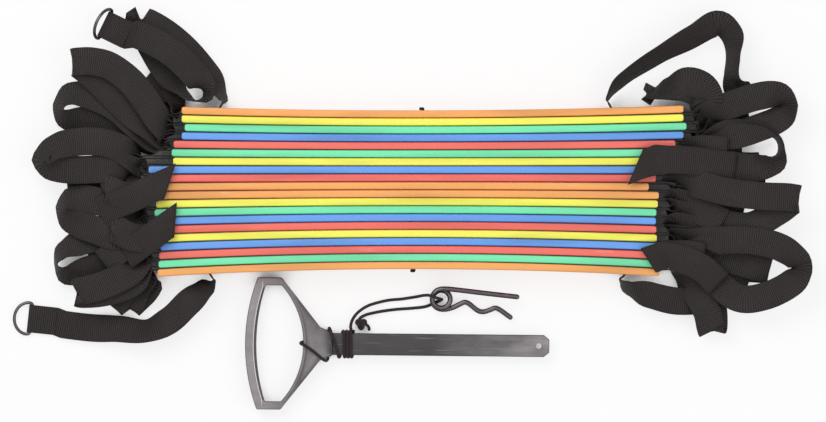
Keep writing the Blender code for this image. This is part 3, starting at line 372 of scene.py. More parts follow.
def web_part(tree, size, half):
    recesses = add(tree, "ShaderNodeMath", TIMES, _0=size["Recess"], _1=2.0)
    thickness = add(tree, "ShaderNodeMath", MINUS, _0=size["Thickness"], _1=recesses)
    height = add(tree, "ShaderNodeMath", MINUS, _0=size["Height"], _1=size["Rim Height"])
    outline = add(tree, "GeometryNodeCurvePrimitiveQuadrilateral", Width=size["Length"], Height=height)
    points = add(tree, "GeometryNodeResampleCurve", Curve=outline, Count=WEB_STATIONS)
    right_x = add(tree, "ShaderNodeMath", MINUS, _0=half, _1=size["Strap Slot From End"])
    left_x = add(tree, "ShaderNodeMath", TIMES, _0=right_x, _1=-1.0)
    drawn = add(tree, "GeometryNodeJoinGeometry")
    for part in (points,
                 slot_outline(tree, size["Centre Slot Length"], size["Centre Slot Height"], 0.0),
                 slot_outline(tree, size["Strap Slot Width"], size["Strap Slot Height"], right_x),
                 slot_outline(tree, size["Strap Slot Width"], size["Strap Slot Height"], left_x)):
        tree.links.new(part.outputs[0], drawn.inputs[0])
    sheet = add(tree, "GeometryNodeFillCurve", {"mode": "TRIANGLES"}, Curve=drawn)
    pushed = add(tree, "GeometryNodeExtrudeMesh", Mesh=sheet, Offset_Scale=thickness, Individual=False)
    closed = add(tree, "GeometryNodeJoinGeometry")
    for part in (pushed, add(tree, "GeometryNodeFlipFaces", Mesh=sheet)):
        tree.links.new(part.outputs[0], closed.inputs[0])
    welded = add(tree, "GeometryNodeMergeByDistance", Geometry=closed, Distance=WELD_DISTANCE)
    back = add(tree, "ShaderNodeMath", TIMES, _0=thickness, _1=0.5)
    rise = add(tree, "ShaderNodeMath", TIMES, _0=size["Height"], _1=0.5)
    return add(tree, "GeometryNodeTransform", Geometry=welded,
               Translation=add(tree, "ShaderNodeCombineXYZ", Y=back, Z=rise), Rotation=(math.pi / 2, 0, 0))


print("web outline", WEB_STATIONS, "points")

# %% [markdown]
# ## Rims and bow
# The rim is a small rounded bar, swept along a line with many stations so that it can bow smoothly. It
# is drawn in a little at its two ends, as the mould's corners are. The bow itself moves every point in y
# by a parabola.

# %% Node tree of a flat rung
RIM_ROUND = 0.00144
RIM_ROUND_STEPS = 5
RIM_BULGE = 0.0003
RIM_STATIONS = 300
RIM_END_REACH = (-0.0012, 0.0016)
RIM_END_SHARE = 0.55
RUNG_SIZES = ("Length", "Height", "Thickness", "Rim Height", "Recess", "Centre X", "End Y", "Middle Y",
              "Centre Slot Length", "Centre Slot Height", "Strap Slot Width", "Strap Slot Height",
              "Strap Slot From End")


def rim_parts(tree, size, half):
    """The bottom and the top rim."""
    minus_half = add(tree, "ShaderNodeMath", TIMES, _0=half, _1=-1.0)
    line = add(tree, "GeometryNodeCurvePrimitiveLine", Start=add(tree, "ShaderNodeCombineXYZ", X=minus_half),
               End=add(tree, "ShaderNodeCombineXYZ", X=half))
    stations = add(tree, "GeometryNodeResampleCurve", Curve=line, Count=RIM_STATIONS)
    upright = add(tree, "GeometryNodeSetCurveNormal", {"mode": "Z_UP"}, Curve=stations)
    bar = add(tree, "GeometryNodeCurvePrimitiveQuadrilateral", Width=size["Thickness"],
              Height=size["Rim Height"])
    rounded = add(tree, "GeometryNodeFilletCurve", {"mode": "POLY"}, Curve=bar, Count=RIM_ROUND_STEPS,
                  Radius=RIM_ROUND, Limit_Radius=True)
    along = add(tree, "GeometryNodeSplineParameter").outputs["Factor"]
    onward = add(tree, "ShaderNodeMath", MINUS, _0=1.0, _1=along)
    nearer = add(tree, "ShaderNodeMath", LESSER, _0=along, _1=onward)
    from_end = add(tree, "ShaderNodeMath", TIMES, _0=nearer, _1=size["Length"])
    drawn_in = add(tree, "ShaderNodeMapRange", SMOOTH, Value=from_end, From_Min=RIM_END_REACH[0],
                   From_Max=RIM_END_REACH[1], To_Min=RIM_END_SHARE)
    rim = add(tree, "GeometryNodeCurveToMesh", Curve=upright, Profile_Curve=rounded, Scale=drawn_in,
              Fill_Caps=True)
    low = add(tree, "ShaderNodeMath", TIMES, _0=size["Rim Height"], _1=0.5)
    high = add(tree, "ShaderNodeMath", MINUS, _0=size["Height"], _1=low)
    return [add(tree, "GeometryNodeTransform", Geometry=rim,
                Translation=add(tree, "ShaderNodeCombineXYZ", Z=height)) for height in (low, high)]


def bowed(tree, size, half, whole):
    """Move a rung along x as it has slipped, and in y as a shallow parabola."""
    place = add(tree, "ShaderNodeSeparateXYZ", Vector=add(tree, "GeometryNodeInputPosition"))
    x = add(tree, "ShaderNodeMath", PLUS, _0=place.outputs["X"], _1=size["Centre X"])
    ratio = add(tree, "ShaderNodeMath", OVER, _0=x, _1=half)
    squared = add(tree, "ShaderNodeMath", TIMES, _0=ratio, _1=ratio)
    bow = add(tree, "ShaderNodeMath", MINUS, _0=1.0, _1=squared)
    spread = add(tree, "ShaderNodeMath", MINUS, _0=size["Middle Y"], _1=size["End Y"])
    shift = add(tree, "ShaderNodeMath", TIMES, _0=spread, _1=bow)
    y = add(tree, "ShaderNodeMath", PLUS, _0=size["End Y"], _1=shift)
    move = add(tree, "ShaderNodeCombineXYZ", X=size["Centre X"], Y=y)
    return add(tree, "GeometryNodeSetPosition", Geometry=whole, Offset=move)


def flat_rung_tree():
    tree = bpy.data.node_groups.new("flat_rung", "GeometryNodeTree")
    for name in RUNG_SIZES:
        tree.interface.new_socket(name, in_out="INPUT", socket_type="NodeSocketFloat")
    tree.interface.new_socket("Plastic", in_out="INPUT", socket_type="NodeSocketMaterial")
    tree.interface.new_socket("Geometry", in_out="OUTPUT", socket_type="NodeSocketGeometry")
    size = add(tree, "NodeGroupInput").outputs
    half = add(tree, "ShaderNodeMath", TIMES, _0=size["Length"], _1=0.5)
    whole = add(tree, "GeometryNodeJoinGeometry")
    for part in (*rim_parts(tree, size, half), web_part(tree, size, half)):
        tree.links.new(part.outputs[0], whole.inputs[0])
    real = add(tree, "GeometryNodeRealizeInstances", Geometry=bowed(tree, size, half, whole))
    coloured = add(tree, "GeometryNodeSetMaterial", Geometry=real, Material=size["Plastic"])
    add(tree, "NodeGroupOutput", _0=coloured)
    return tree


rung_rule = flat_rung_tree()
print("rung tree has", len(rung_rule.nodes), "nodes")

# %% [markdown]
# ## Baking a rule to a plain mesh
# A modifier's inputs are found by the identifier of each socket. They are set first, then the evaluated
# shape is copied to a plain mesh, and the helper object goes. The edges that the light should break on
# stay sharp, and the rest is smooth.

# %% Bake helpers
SHARP_ANGLE = 60


def smoothed(mesh, sharp_angle):
    """Shade a mesh smooth, but for the edges that turn by more than an angle in degrees."""
    mesh.shade_smooth()
    mesh.set_sharp_from_angle(angle=math.radians(sharp_angle))
    return mesh


def keep_piece(name, mesh, finish, body, stands_for=(), sharp_angle=SHARP_ANGLE):
    """Make the finished mesh a piece that rides on its body and stands for its solid."""
    mesh.materials.clear()
    mesh.materials.append(finish)
    piece = bpy.data.objects.new(name, smoothed(mesh, sharp_angle))
    bpy.context.scene.collection.objects.link(piece)
    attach(piece, body)
    for node in stands_for:
        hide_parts(node)
    return piece


def bake(tree, values):
    """Run a node tree with its inputs set and return the result as a plain mesh."""
    seed = bpy.data.objects.new("seed", bpy.data.meshes.new("seed"))
    bpy.context.scene.collection.objects.link(seed)
    modifier = seed.modifiers.new("rule", "NODES")
    modifier.node_group = tree
    for item in tree.interface.items_tree:
        if item.item_type == "SOCKET" and item.in_out == "INPUT":
            modifier[item.identifier] = values[item.name]
    bpy.context.view_layer.update()
    result = bpy.data.meshes.new_from_object(seed.evaluated_get(bpy.context.evaluated_depsgraph_get()))
    bpy.data.objects.remove(seed, do_unlink=True)
    return result


print("edges over", SHARP_ANGLE, "degrees stay sharp")

# %% [markdown]
# ## The twenty rungs
# Each rung gives the tree its own place, bow and colour. All other inputs are the same for all twenty.

# %% Rungs
RUNG_SHARP_ANGLE = 40
for index, colour in enumerate(RUNG_ORDER):
    end_y, middle_y = rung_line(index)
    result = bake(rung_rule, {
        "Length": RUNG_LENGTH, "Height": RUNG_HEIGHT, "Thickness": RUNG_THICKNESS + 2 * RIM_BULGE,
        "Rim Height": RIM_HEIGHT, "Recess": RECESS_DEPTH + RIM_BULGE, "Centre X": rung_centre_x(index),
        "End Y": end_y, "Middle Y": middle_y, "Centre Slot Length": CENTRE_SLOT_LENGTH,
        "Centre Slot Height": CENTRE_SLOT_HEIGHT, "Strap Slot Width": STRAP_SLOT_WIDTH,
        "Strap Slot Height": STRAP_SLOT_HEIGHT, "Strap Slot From End": STRAP_SLOT_FROM_END,
        "Plastic": rung_finishes[colour]})
    node = f"rung_{index + 1:02d}"
    keep_piece(f"moulded_{node}", result, rung_finishes[colour], "stack", (node,),
               RUNG_SHARP_ANGLE)
print("rungs", RUNG_COUNT, "with", len(result.polygons), "faces each")

# %% [markdown]
# ## Sweeps
# Cords, straps, rings and the clip are all the same kind of thing, a cross-section carried along a line.
# `smooth_route` draws a soft curve through given places, and `swept` skins a row of rings and
# keeps two measures on the skin. One runs around the section and the other is the length in metres, so
# that every weave can be drawn at its true size.

# %% Route and sweep helpers
DOME_SHARE = 0.45


def soft_step(a, b, c, d, t):
    """A share t of the way from b to c, on a soft curve that heads from a to d."""
    return 0.5 * (2 * b + (c - a) * t + (2 * a - 5 * b + 4 * c - d) * t * t
                  + (3 * b - a - 3 * c + d) * t ** 3)


def smooth_route(points, step, closed=False):
    """A soft curve through points, with a place about every step."""
    if closed:
        padded = [points[-1], *points, points[0], points[1]]
    else:
        padded = [points[0] * 2 - points[1], *points, points[-1] * 2 - points[-2]]
    route = []
    for a, b, c, d in zip(padded, padded[1:], padded[2:], padded[3:]):
        count = max(1, round((c - b).length / step))
        route.extend(soft_step(a, b, c, d, i / count) for i in range(count))
    if not closed:
        route.append(points[-1])
    return route


def distances(points, closed=False):
    """How far along the route each point lies, in metres."""
    run = [0.0]
    for a, b in zip(points, points[1:] + points[:1] if closed else points[1:]):
        run.append(run[-1] + (b - a).length)
    return run


def swept(name, rings, around, along, closed=False):
    """Skin rings of equal count. around has one value more than a ring has points."""
    builder = bmesh.new()
    layer = builder.loops.layers.uv.new("UVMap")
    rows = [[builder.verts.new(point) for point in ring] for ring in rings]
    pairs = list(zip(rows, rows[1:] + rows[:1] if closed else rows[1:]))
    for r, (near, far) in enumerate(pairs):
        for i in range(len(near)):
            j = (i + 1) % len(near)
            face = builder.faces.new((near[i], near[j], far[j], far[i]))
            for loop, u, v in zip(face.loops, (i, i + 1, i + 1, i), (r, r, r + 1, r + 1)):
                loop[layer].uv = (around[u], along[v])
    if not closed:
        for row, v in ((rows[0], along[0]), (rows[-1], along[-1])):
            face = builder.faces.new(row)
            for i, loop in enumerate(face.loops):
                loop[layer].uv = (around[i], v)
    bmesh.ops.recalc_face_normals(builder, faces=builder.faces[:])
    mesh = bpy.data.meshes.new(name)
    builder.to_mesh(mesh)
    builder.free()
    return mesh


def tube_rings(points, radii, sides, closed=False):
    """Round rings along points, turned as little as possible from one to the next."""
    rings = []
    normal = None
    count = len(points)
    for i, (point, radius) in enumerate(zip(points, radii)):
        before = points[i - 1] if i or closed else point
        after = points[(i + 1) % count] if i < count - 1 or closed else point
        along = (after - before).normalized()
        normal = along.orthogonal() if normal is None else normal - along * normal.dot(along)
        normal.normalize()
        other = along.cross(normal)
        rings.append([point + (normal * math.cos(2 * math.pi * k / sides)
                               + other * math.sin(2 * math.pi * k / sides)) * radius for k in range(sides)])
    return rings


def tube(name, points, diameter, sides, closed=False):
    """A round tube with its two ends drawn in to a dome."""
    run = distances(points, closed)
    radius = diameter / 2
    radii = []
    for distance in run[:len(points)]:
        room = radius if closed else min(radius, distance, run[-1] - distance)
        radii.append(radius * (DOME_SHARE + (1 - DOME_SHARE) * math.sqrt(1 - (1 - room / radius) ** 2)))
    around = [k / sides for k in range(sides + 1)]
    return swept(name, tube_rings(points, radii, sides, closed), around, run, closed)


print("a soft step half way from 0 to 1 is", soft_step(0, 0, 1, 1, 0.5))

# %% [markdown]
# ## Braided cord
# The tie through the stack, the lashing on the holder and the lanyard are one kind of cord, a dark round
# polyester braid a little under 3 mm thick. Its strands cross over and under each other, so the shader
# draws two sets of spirals and lets one or the other lie on top by turns. Yarn is dull: it has almost no
# highlight, and only a trace of sheen.

# %% Cord finish
CORD_DIAMETER = 0.0028
TIE_DIAMETER = 0.0024
PLAIT_PITCH = 0.0034
PLAIT_STRANDS = 5.0
PLAIT_DEPTH = 0.0003
PLAIT_GAP_PAINTED_SHADE = 0.35
YARN_ROUGHNESS = 0.85
YARN_SHINE = 0.15
YARN_SHEEN = 0.05


def braided_cord(name, hex_colour):
    """Two sets of spirals. Where the product of their waves is above zero, the second set is on top."""
    made, tree = start_material(name)
    place = add(tree, "ShaderNodeSeparateXYZ", Vector=add(tree, "ShaderNodeTexCoord").outputs["UV"])
    around = add(tree, "ShaderNodeMath", TIMES, _0=place.outputs["X"], _1=PLAIT_STRANDS * math.pi)
    along = add(tree, "ShaderNodeMath", TIMES, _0=place.outputs["Y"], _1=math.pi / PLAIT_PITCH)
    waves = [add(tree, "ShaderNodeMath", SINE, _0=add(tree, "ShaderNodeMath", way, _0=around, _1=along))
             for way in (PLUS, MINUS)]
    crossed = add(tree, "ShaderNodeMath", TIMES, _0=waves[0], _1=waves[1])
    over = add(tree, "ShaderNodeMath", {"operation": "GREATER_THAN"}, _0=crossed, _1=0.0)
    one_way, other_way = (add(tree, "ShaderNodeMath", SIZE, _0=wave) for wave in waves)
    strand = add(tree, "ShaderNodeMix", NUMBERS, Factor=over, A=one_way, B=other_way)
    base = linear(hex_colour)
    # The hollows between the strands are painted darker: painted shade.
    colour = add(tree, "ShaderNodeMix", COLOURS, Factor=strand, A=scaled(base, PLAIT_GAP_PAINTED_SHADE), B=base)
    relief = add(tree, "ShaderNodeBump", Strength=0.8, Distance=PLAIT_DEPTH, Height=strand)
    shader = add(tree, "ShaderNodeBsdfPrincipled", Base_Color=colour, Roughness=YARN_ROUGHNESS,
                 Specular_IOR_Level=YARN_SHINE, Sheen_Weight=YARN_SHEEN, Sheen_Roughness=0.5,
                 Normal=relief)
    add(tree, "ShaderNodeOutputMaterial", Surface=shader)
    return made


cord_finish = braided_cord("braided_polyester_cord", "#40373a")
print("plait crosses every", PLAIT_PITCH * 1000, "mm")

# %% [markdown]
# ## The lashing
# The lashing comes up through the hand hole, crosses the throat of the handle, goes round the neck and
# winds three times round the root of the bar. Its route is written in the holder's own frame.

# %% Lashing
CORD_CLEARANCE = 0.0003
CORD_STEP = 0.35 * CORD_DIAMETER
CORD_SIDES = 14
LASHING_TURNS = 3
LASHING_FROM_NECK = 0.0093
HANDLE_DEPTH = 0.0790
HANDLE_THICKNESS = 0.0130
BAR_WIDTH = 0.0198
BAR_THICKNESS = 0.0060
GRIP_PLACE = (245.0, 343.2)
HOLDER_LIFT = 0.0034
HOLDER_TURN = -0.010
LASHING_ROUTE = ((0.0660, 0.0060, -0.0018), (0.0570, 0.0030, -0.0018), (0.0524, 0.0014, -0.0018),
                 (0.0503, 0.0009, -0.0002), (0.0502, 0.0006, 0.0065), (0.0503, 0.0002, 0.0132),
                 (0.0524, -0.0008, 0.0148), (0.0560, -0.0028, 0.0150), (0.0620, -0.0070, 0.0149),
                 (0.0680, -0.0118, 0.0149), (0.0710, -0.0142, 0.0142), (0.0728, -0.0150, 0.0110),
                 (0.0735, -0.0150, 0.0065), (0.0742, -0.0142, 0.0000), (0.0747, -0.0120, -0.0018),
                 (0.0750, -0.0070, -0.0018), (0.0750, 0.0070, -0.0018), (0.0751, 0.0118, -0.0018),
                 (0.0754, 0.0138, -0.0002), (0.0758, 0.0142, 0.0065), (0.0763, 0.0136, 0.0128),
                 (0.0770, 0.0116, 0.0148), (0.0785, 0.0070, 0.0149), (0.0812, 0.0000, 0.0142),
                 (0.0832, -0.0070, 0.0125), (0.0841, -0.0108, 0.0108), (0.0847, -0.0119, 0.0065),
                 (0.0852, -0.0116, 0.0028), (0.0857, -0.0098, 0.0016), (0.0862, -0.0050, 0.0016),
                 (0.0868, 0.0050, 0.0016), (0.0874, 0.0099, 0.0017), (0.0880, 0.0114, 0.0030))


def holder_place(x, y, z=0.0):
    """A place in the holder's frame, with the grip's outer edge at zero and the bar along x."""
    turned = Vector((x * math.cos(HOLDER_TURN) - y * math.sin(HOLDER_TURN),
                     x * math.sin(HOLDER_TURN) + y * math.cos(HOLDER_TURN), z))
    return photo(*GRIP_PLACE, HOLDER_LIFT) + turned


def lashing_points():
    """The written route over the handle, then close turns round the bar."""
    points = [Vector(place) for place in LASHING_ROUTE]
    reach = CORD_CLEARANCE + CORD_DIAMETER / 2
    half_y, half_z = BAR_WIDTH / 2, BAR_THICKNESS / 2
    lean = reach * math.sqrt(0.5)
    quarter = ((half_y + reach, 0), (half_y + reach, half_z), (half_y + lean, half_z + lean),
               (half_y, half_z + reach))
    turn = [*quarter, *((-y, z) for y, z in reversed(quarter)), *((-y, -z) for y, z in quarter[1:]),
            *((y, -z) for y, z in reversed(quarter[1:]))]
    pitch = CORD_DIAMETER + CORD_CLEARANCE
    start = HANDLE_DEPTH + LASHING_FROM_NECK
    for lap in range(LASHING_TURNS):
        for i, (y, z) in enumerate(turn):
            points.append(Vector((start + pitch * (lap + i / len(turn)), y, HANDLE_THICKNESS / 2 + z)))
    points.append(Vector((start + pitch * LASHING_TURNS, half_y + reach, HANDLE_THICKNESS / 2)))
    return [holder_place(*point) for point in points]


def keep_cord(name, line, diameter, sides, body, stands_for=(), closed=False):
    mesh = tube(name, line, diameter, sides, closed)
    return keep_piece(name, mesh, cord_finish, body, stands_for)


line = smooth_route(lashing_points(), CORD_STEP)
lashing = keep_cord("braided_lashing", line, CORD_DIAMETER, CORD_SIDES, "holder", ("lashing_cord",))

# %% [markdown]
# ## Lanyard and knot
# The lanyard leaves the lashing, goes through the clip's eye and comes back to a knot, where a short end
# sticks out. Its route was read from the photograph, with a height for every place.

# %% Lanyard
LANYARD_OUT = ((351.6, 331.0, 0.0128), (350.6, 326.5, 0.0122), (352.6, 319.5, 0.0092),
               (358, 312.5, 0.0066), (367, 306.4, 0.0048), (377, 303.0, 0.0036), (389, 300.4, 0.0026),
               (402, 299.2, 0.0024), (415, 297.2, 0.0030), (424, 295.5, 0.0090), (430, 295.5, 0.0160),
               (436, 297.6, 0.0188), (441, 299.2, 0.0150), (441.8, 299.6, 0.0080))
LANYARD_BACK = ((440.5, 300.4, 0.0022), (434, 303.5, 0.0017), (425, 307, 0.0017), (412, 308.5, 0.0020),
                (398, 309.5, 0.0020), (386, 310.9, 0.0024), (375, 312.8, 0.0036), (365.5, 315.2, 0.0052),
                (359.6, 318.8, 0.0060), (359.8, 323.0, 0.0062))
KNOT_PLACE = (361.0, 324.0)
KNOT_END = ((361.5, 324.5, 0.0066), (365.5, 324.5, 0.0064), (368.5, 327.2, 0.0052), (369.2, 331.0, 0.0042))
KNOT_HEIGHT = 0.0062
KNOT_LOBE = 0.00150
KNOT_RISE = 0.0021
KNOT_STEPS = 120
KNOT_SIDES = 12


def knot_points(lobe, rise, steps):
    """One strand drawn into a round knot of three lobes."""
    points = []
    for step in range(steps):
        t = 2 * math.pi * step / steps
        lobes = Vector((math.sin(t) + 2 * math.sin(2 * t), math.cos(t) - 2 * math.cos(2 * t), 0))
        points.append(lobes * lobe + Vector((0, 0, -math.sin(3 * t) * rise)))
    return points


line = smooth_route([photo(*place) for place in (*LANYARD_OUT, *LANYARD_BACK)], CORD_STEP)
lanyard = keep_cord("braided_lanyard", line, CORD_DIAMETER, CORD_SIDES, "holder", ("lanyard_cord",))
loop = [photo(*KNOT_PLACE, KNOT_HEIGHT) + point for point in knot_points(KNOT_LOBE, KNOT_RISE, KNOT_STEPS)]
knot = keep_cord("lanyard_tied_off", loop, CORD_DIAMETER, KNOT_SIDES, "holder", ("lanyard_knot",), True)
end_line = smooth_route([photo(*place) for place in KNOT_END], CORD_STEP)
loose_end = keep_cord("lanyard_loose_end", end_line, CORD_DIAMETER, CORD_SIDES, "holder")

# %% [markdown]
# ## Stack tie
# The tie goes through all the centre slots and is knotted against each outer rung.

# %% Stack tie
TIE_ENDS = (421.3, 412.9)
TIE_STEP = 0.5 * TIE_DIAMETER
TIE_SIDES = 12
TIE_KNOT_SEAT = 0.6 * CORD_DIAMETER
TIE_KNOT_DIAMETER = 0.8 * TIE_DIAMETER
TIE_KNOT_STEPS = 90
TIE_KNOT_SIDES = 10
TIE_KNOT_LOBE = 0.00055
TIE_KNOT_RISE = 0.0008


def tie_line():
    """The tie runs as straight as the slipped centre slots let it."""
    room = CENTRE_SLOT_LENGTH / 2 - TIE_DIAMETER
    first, last = (photo(x, 0).x for x in TIE_ENDS)
    places = [first + (last - first) * index / (RUNG_COUNT - 1) for index in range(RUNG_COUNT)]
    for _ in range(RUNG_COUNT * RUNG_COUNT):
        for index in range(RUNG_COUNT):
            if 0 < index < RUNG_COUNT - 1:
                places[index] = (places[index - 1] + places[index + 1]) / 2
            middle = rung_centre_x(index)
            places[index] = max(middle - room, min(middle + room, places[index]))
    return [Vector((x, rung_y(index, x), RUNG_HEIGHT / 2)) for index, x in enumerate(places)]


middles = tie_line()
line = smooth_route(middles, TIE_STEP)
tie = keep_cord("braided_stack_tie", line, TIE_DIAMETER, TIE_SIDES, "stack", ("stack_tie_cord",))
knots = []
for end, face in ((0, 1), (-1, -1)):
    seat = middles[end] + Vector((0, face * (RUNG_THICKNESS / 2 + TIE_KNOT_SEAT), 0))
    loop = [seat + Vector((point.x, point.z * face, point.y))
            for point in knot_points(TIE_KNOT_LOBE, TIE_KNOT_RISE, TIE_KNOT_STEPS)]
    name = f"stack_tie_knot_{len(knots) + 1}"
    knots.append(keep_cord(name, loop, TIE_KNOT_DIAMETER, TIE_KNOT_SIDES, "stack", closed=True))

# %% [markdown]
# ## Woven webbing
# The straps are 25 mm black webbing. It is woven with fat weft ribs straight across and warp bundles
# along it that step over them by turns, and it has a smooth rolled edge. The crests of the ribs are
# painted lighter and the gaps between them darker, a painted highlight and painted shade, which keeps the
# black from going flat. Handling leaves dust in the weave and a faint shine on the ribs.

# %% Webbing finish
WEBBING_WIDTH = 0.025
WEBBING_THICKNESS = 0.0010
RIB_PITCH = 0.0019
RIB_STAGGER = math.pi / 10
WARP_PITCH = 0.0021
WARP_SHARE = 0.18
SELVEDGE = (0.00072, 0.00144)
SELVEDGE_LEVEL = 0.55
WEAVE_DEPTH = 0.0004
WEAVE_PAINTED_SHADE_AND_HIGHLIGHT = (0.2, 1.5)
WEAVE_ROUGHNESSES = (0.85, 0.58)
DUST_PATCHES_PER_METRE = 38.0
DUST_SHARES = (0.45, 0.75)
DUST_STRENGTH = 0.18


def woven_webbing(name, yarn_hex, dust_hex, sheen_hex):
    """Weft ribs and warp bundles in the true measures of the skin, with a rolled edge and dust."""
    made, tree = start_material(name)
    coordinates = add(tree, "ShaderNodeTexCoord")
    place = add(tree, "ShaderNodeSeparateXYZ", Vector=coordinates.outputs["UV"])
    across, along = place.outputs["X"], place.outputs["Y"]
    column = add(tree, "ShaderNodeMath", TIMES, _0=across, _1=math.pi / WARP_PITCH)
    warp = add(tree, "ShaderNodeMath", SINE, _0=column)
    bundle = add(tree, "ShaderNodeMath", SIZE, _0=warp)
    step = add(tree, "ShaderNodeMath", SIGN, _0=warp)
    stagger = add(tree, "ShaderNodeMath", TIMES, _0=step, _1=RIB_STAGGER)
    row = add(tree, "ShaderNodeMath", TIMES, _0=along, _1=math.pi / RIB_PITCH)
    weft = add(tree, "ShaderNodeMath", SINE, _0=add(tree, "ShaderNodeMath", PLUS, _0=row, _1=stagger))
    rib = add(tree, "ShaderNodeMath", SIZE, _0=weft)
    weave = add(tree, "ShaderNodeMix", NUMBERS, Factor=WARP_SHARE, A=rib, B=bundle)
    onward = add(tree, "ShaderNodeMath", MINUS, _0=WEBBING_WIDTH, _1=across)
    from_edge = add(tree, "ShaderNodeMath", LESSER, _0=across, _1=onward)
    inner = add(tree, "ShaderNodeMapRange", SMOOTH, Value=from_edge, From_Min=SELVEDGE[0],
                From_Max=SELVEDGE[1])
    level = add(tree, "ShaderNodeMix", NUMBERS, Factor=inner, A=SELVEDGE_LEVEL, B=weave)
    # Gaps between the ribs painted darker and crests lighter: painted shade and painted highlight.
    painted_gap_shade, painted_lit_crest = (scaled(linear(yarn_hex), shade) for shade in WEAVE_PAINTED_SHADE_AND_HIGHLIGHT)
    yarn_with_painted_light = add(tree, "ShaderNodeMix", COLOURS, Factor=level, A=painted_gap_shade, B=painted_lit_crest)
    patches = add(tree, "ShaderNodeTexNoise", Vector=coordinates.outputs["Object"],
                  Scale=DUST_PATCHES_PER_METRE, Detail=4.0, Roughness=0.6)
    dust = add(tree, "ShaderNodeMapRange", Value=patches, From_Min=DUST_SHARES[0],
               From_Max=DUST_SHARES[1], To_Max=DUST_STRENGTH)
    colour = add(tree, "ShaderNodeMix", COLOURS, Factor=dust, A=yarn_with_painted_light, B=linear(dust_hex))
    relief = add(tree, "ShaderNodeBump", Strength=0.75, Distance=WEAVE_DEPTH, Height=level)
    gloss = add(tree, "ShaderNodeMapRange", Value=level, To_Min=WEAVE_ROUGHNESSES[0],
                To_Max=WEAVE_ROUGHNESSES[1])
    shader = add(tree, "ShaderNodeBsdfPrincipled", Base_Color=colour, Roughness=gloss,
                 Specular_IOR_Level=YARN_SHINE, Sheen_Weight=YARN_SHEEN, Sheen_Roughness=0.4,
                 Sheen_Tint=linear(sheen_hex), Normal=relief)
    add(tree, "ShaderNodeOutputMaterial", Surface=shader)
    return made


webbing_finish = woven_webbing("woven_polypropylene_webbing", "#322d2d", "#4c4543", "#b8b0ac")
print("ribs every", RIB_PITCH * 1000, "mm")

# %% [markdown]
# ## The straps' routes
# Each strap is one length of webbing. It enters at the first rung, passes through the slot of every rung
# and hangs out in a loop between one rung and the next. Loops that show were read from the photograph.
# Each place has its pixel, its height in shares of the rung's height, and how flat the strap lies there,
# from 0 on edge to 1 flat. Loops that are hidden are given by their tip, two heights and a spread.

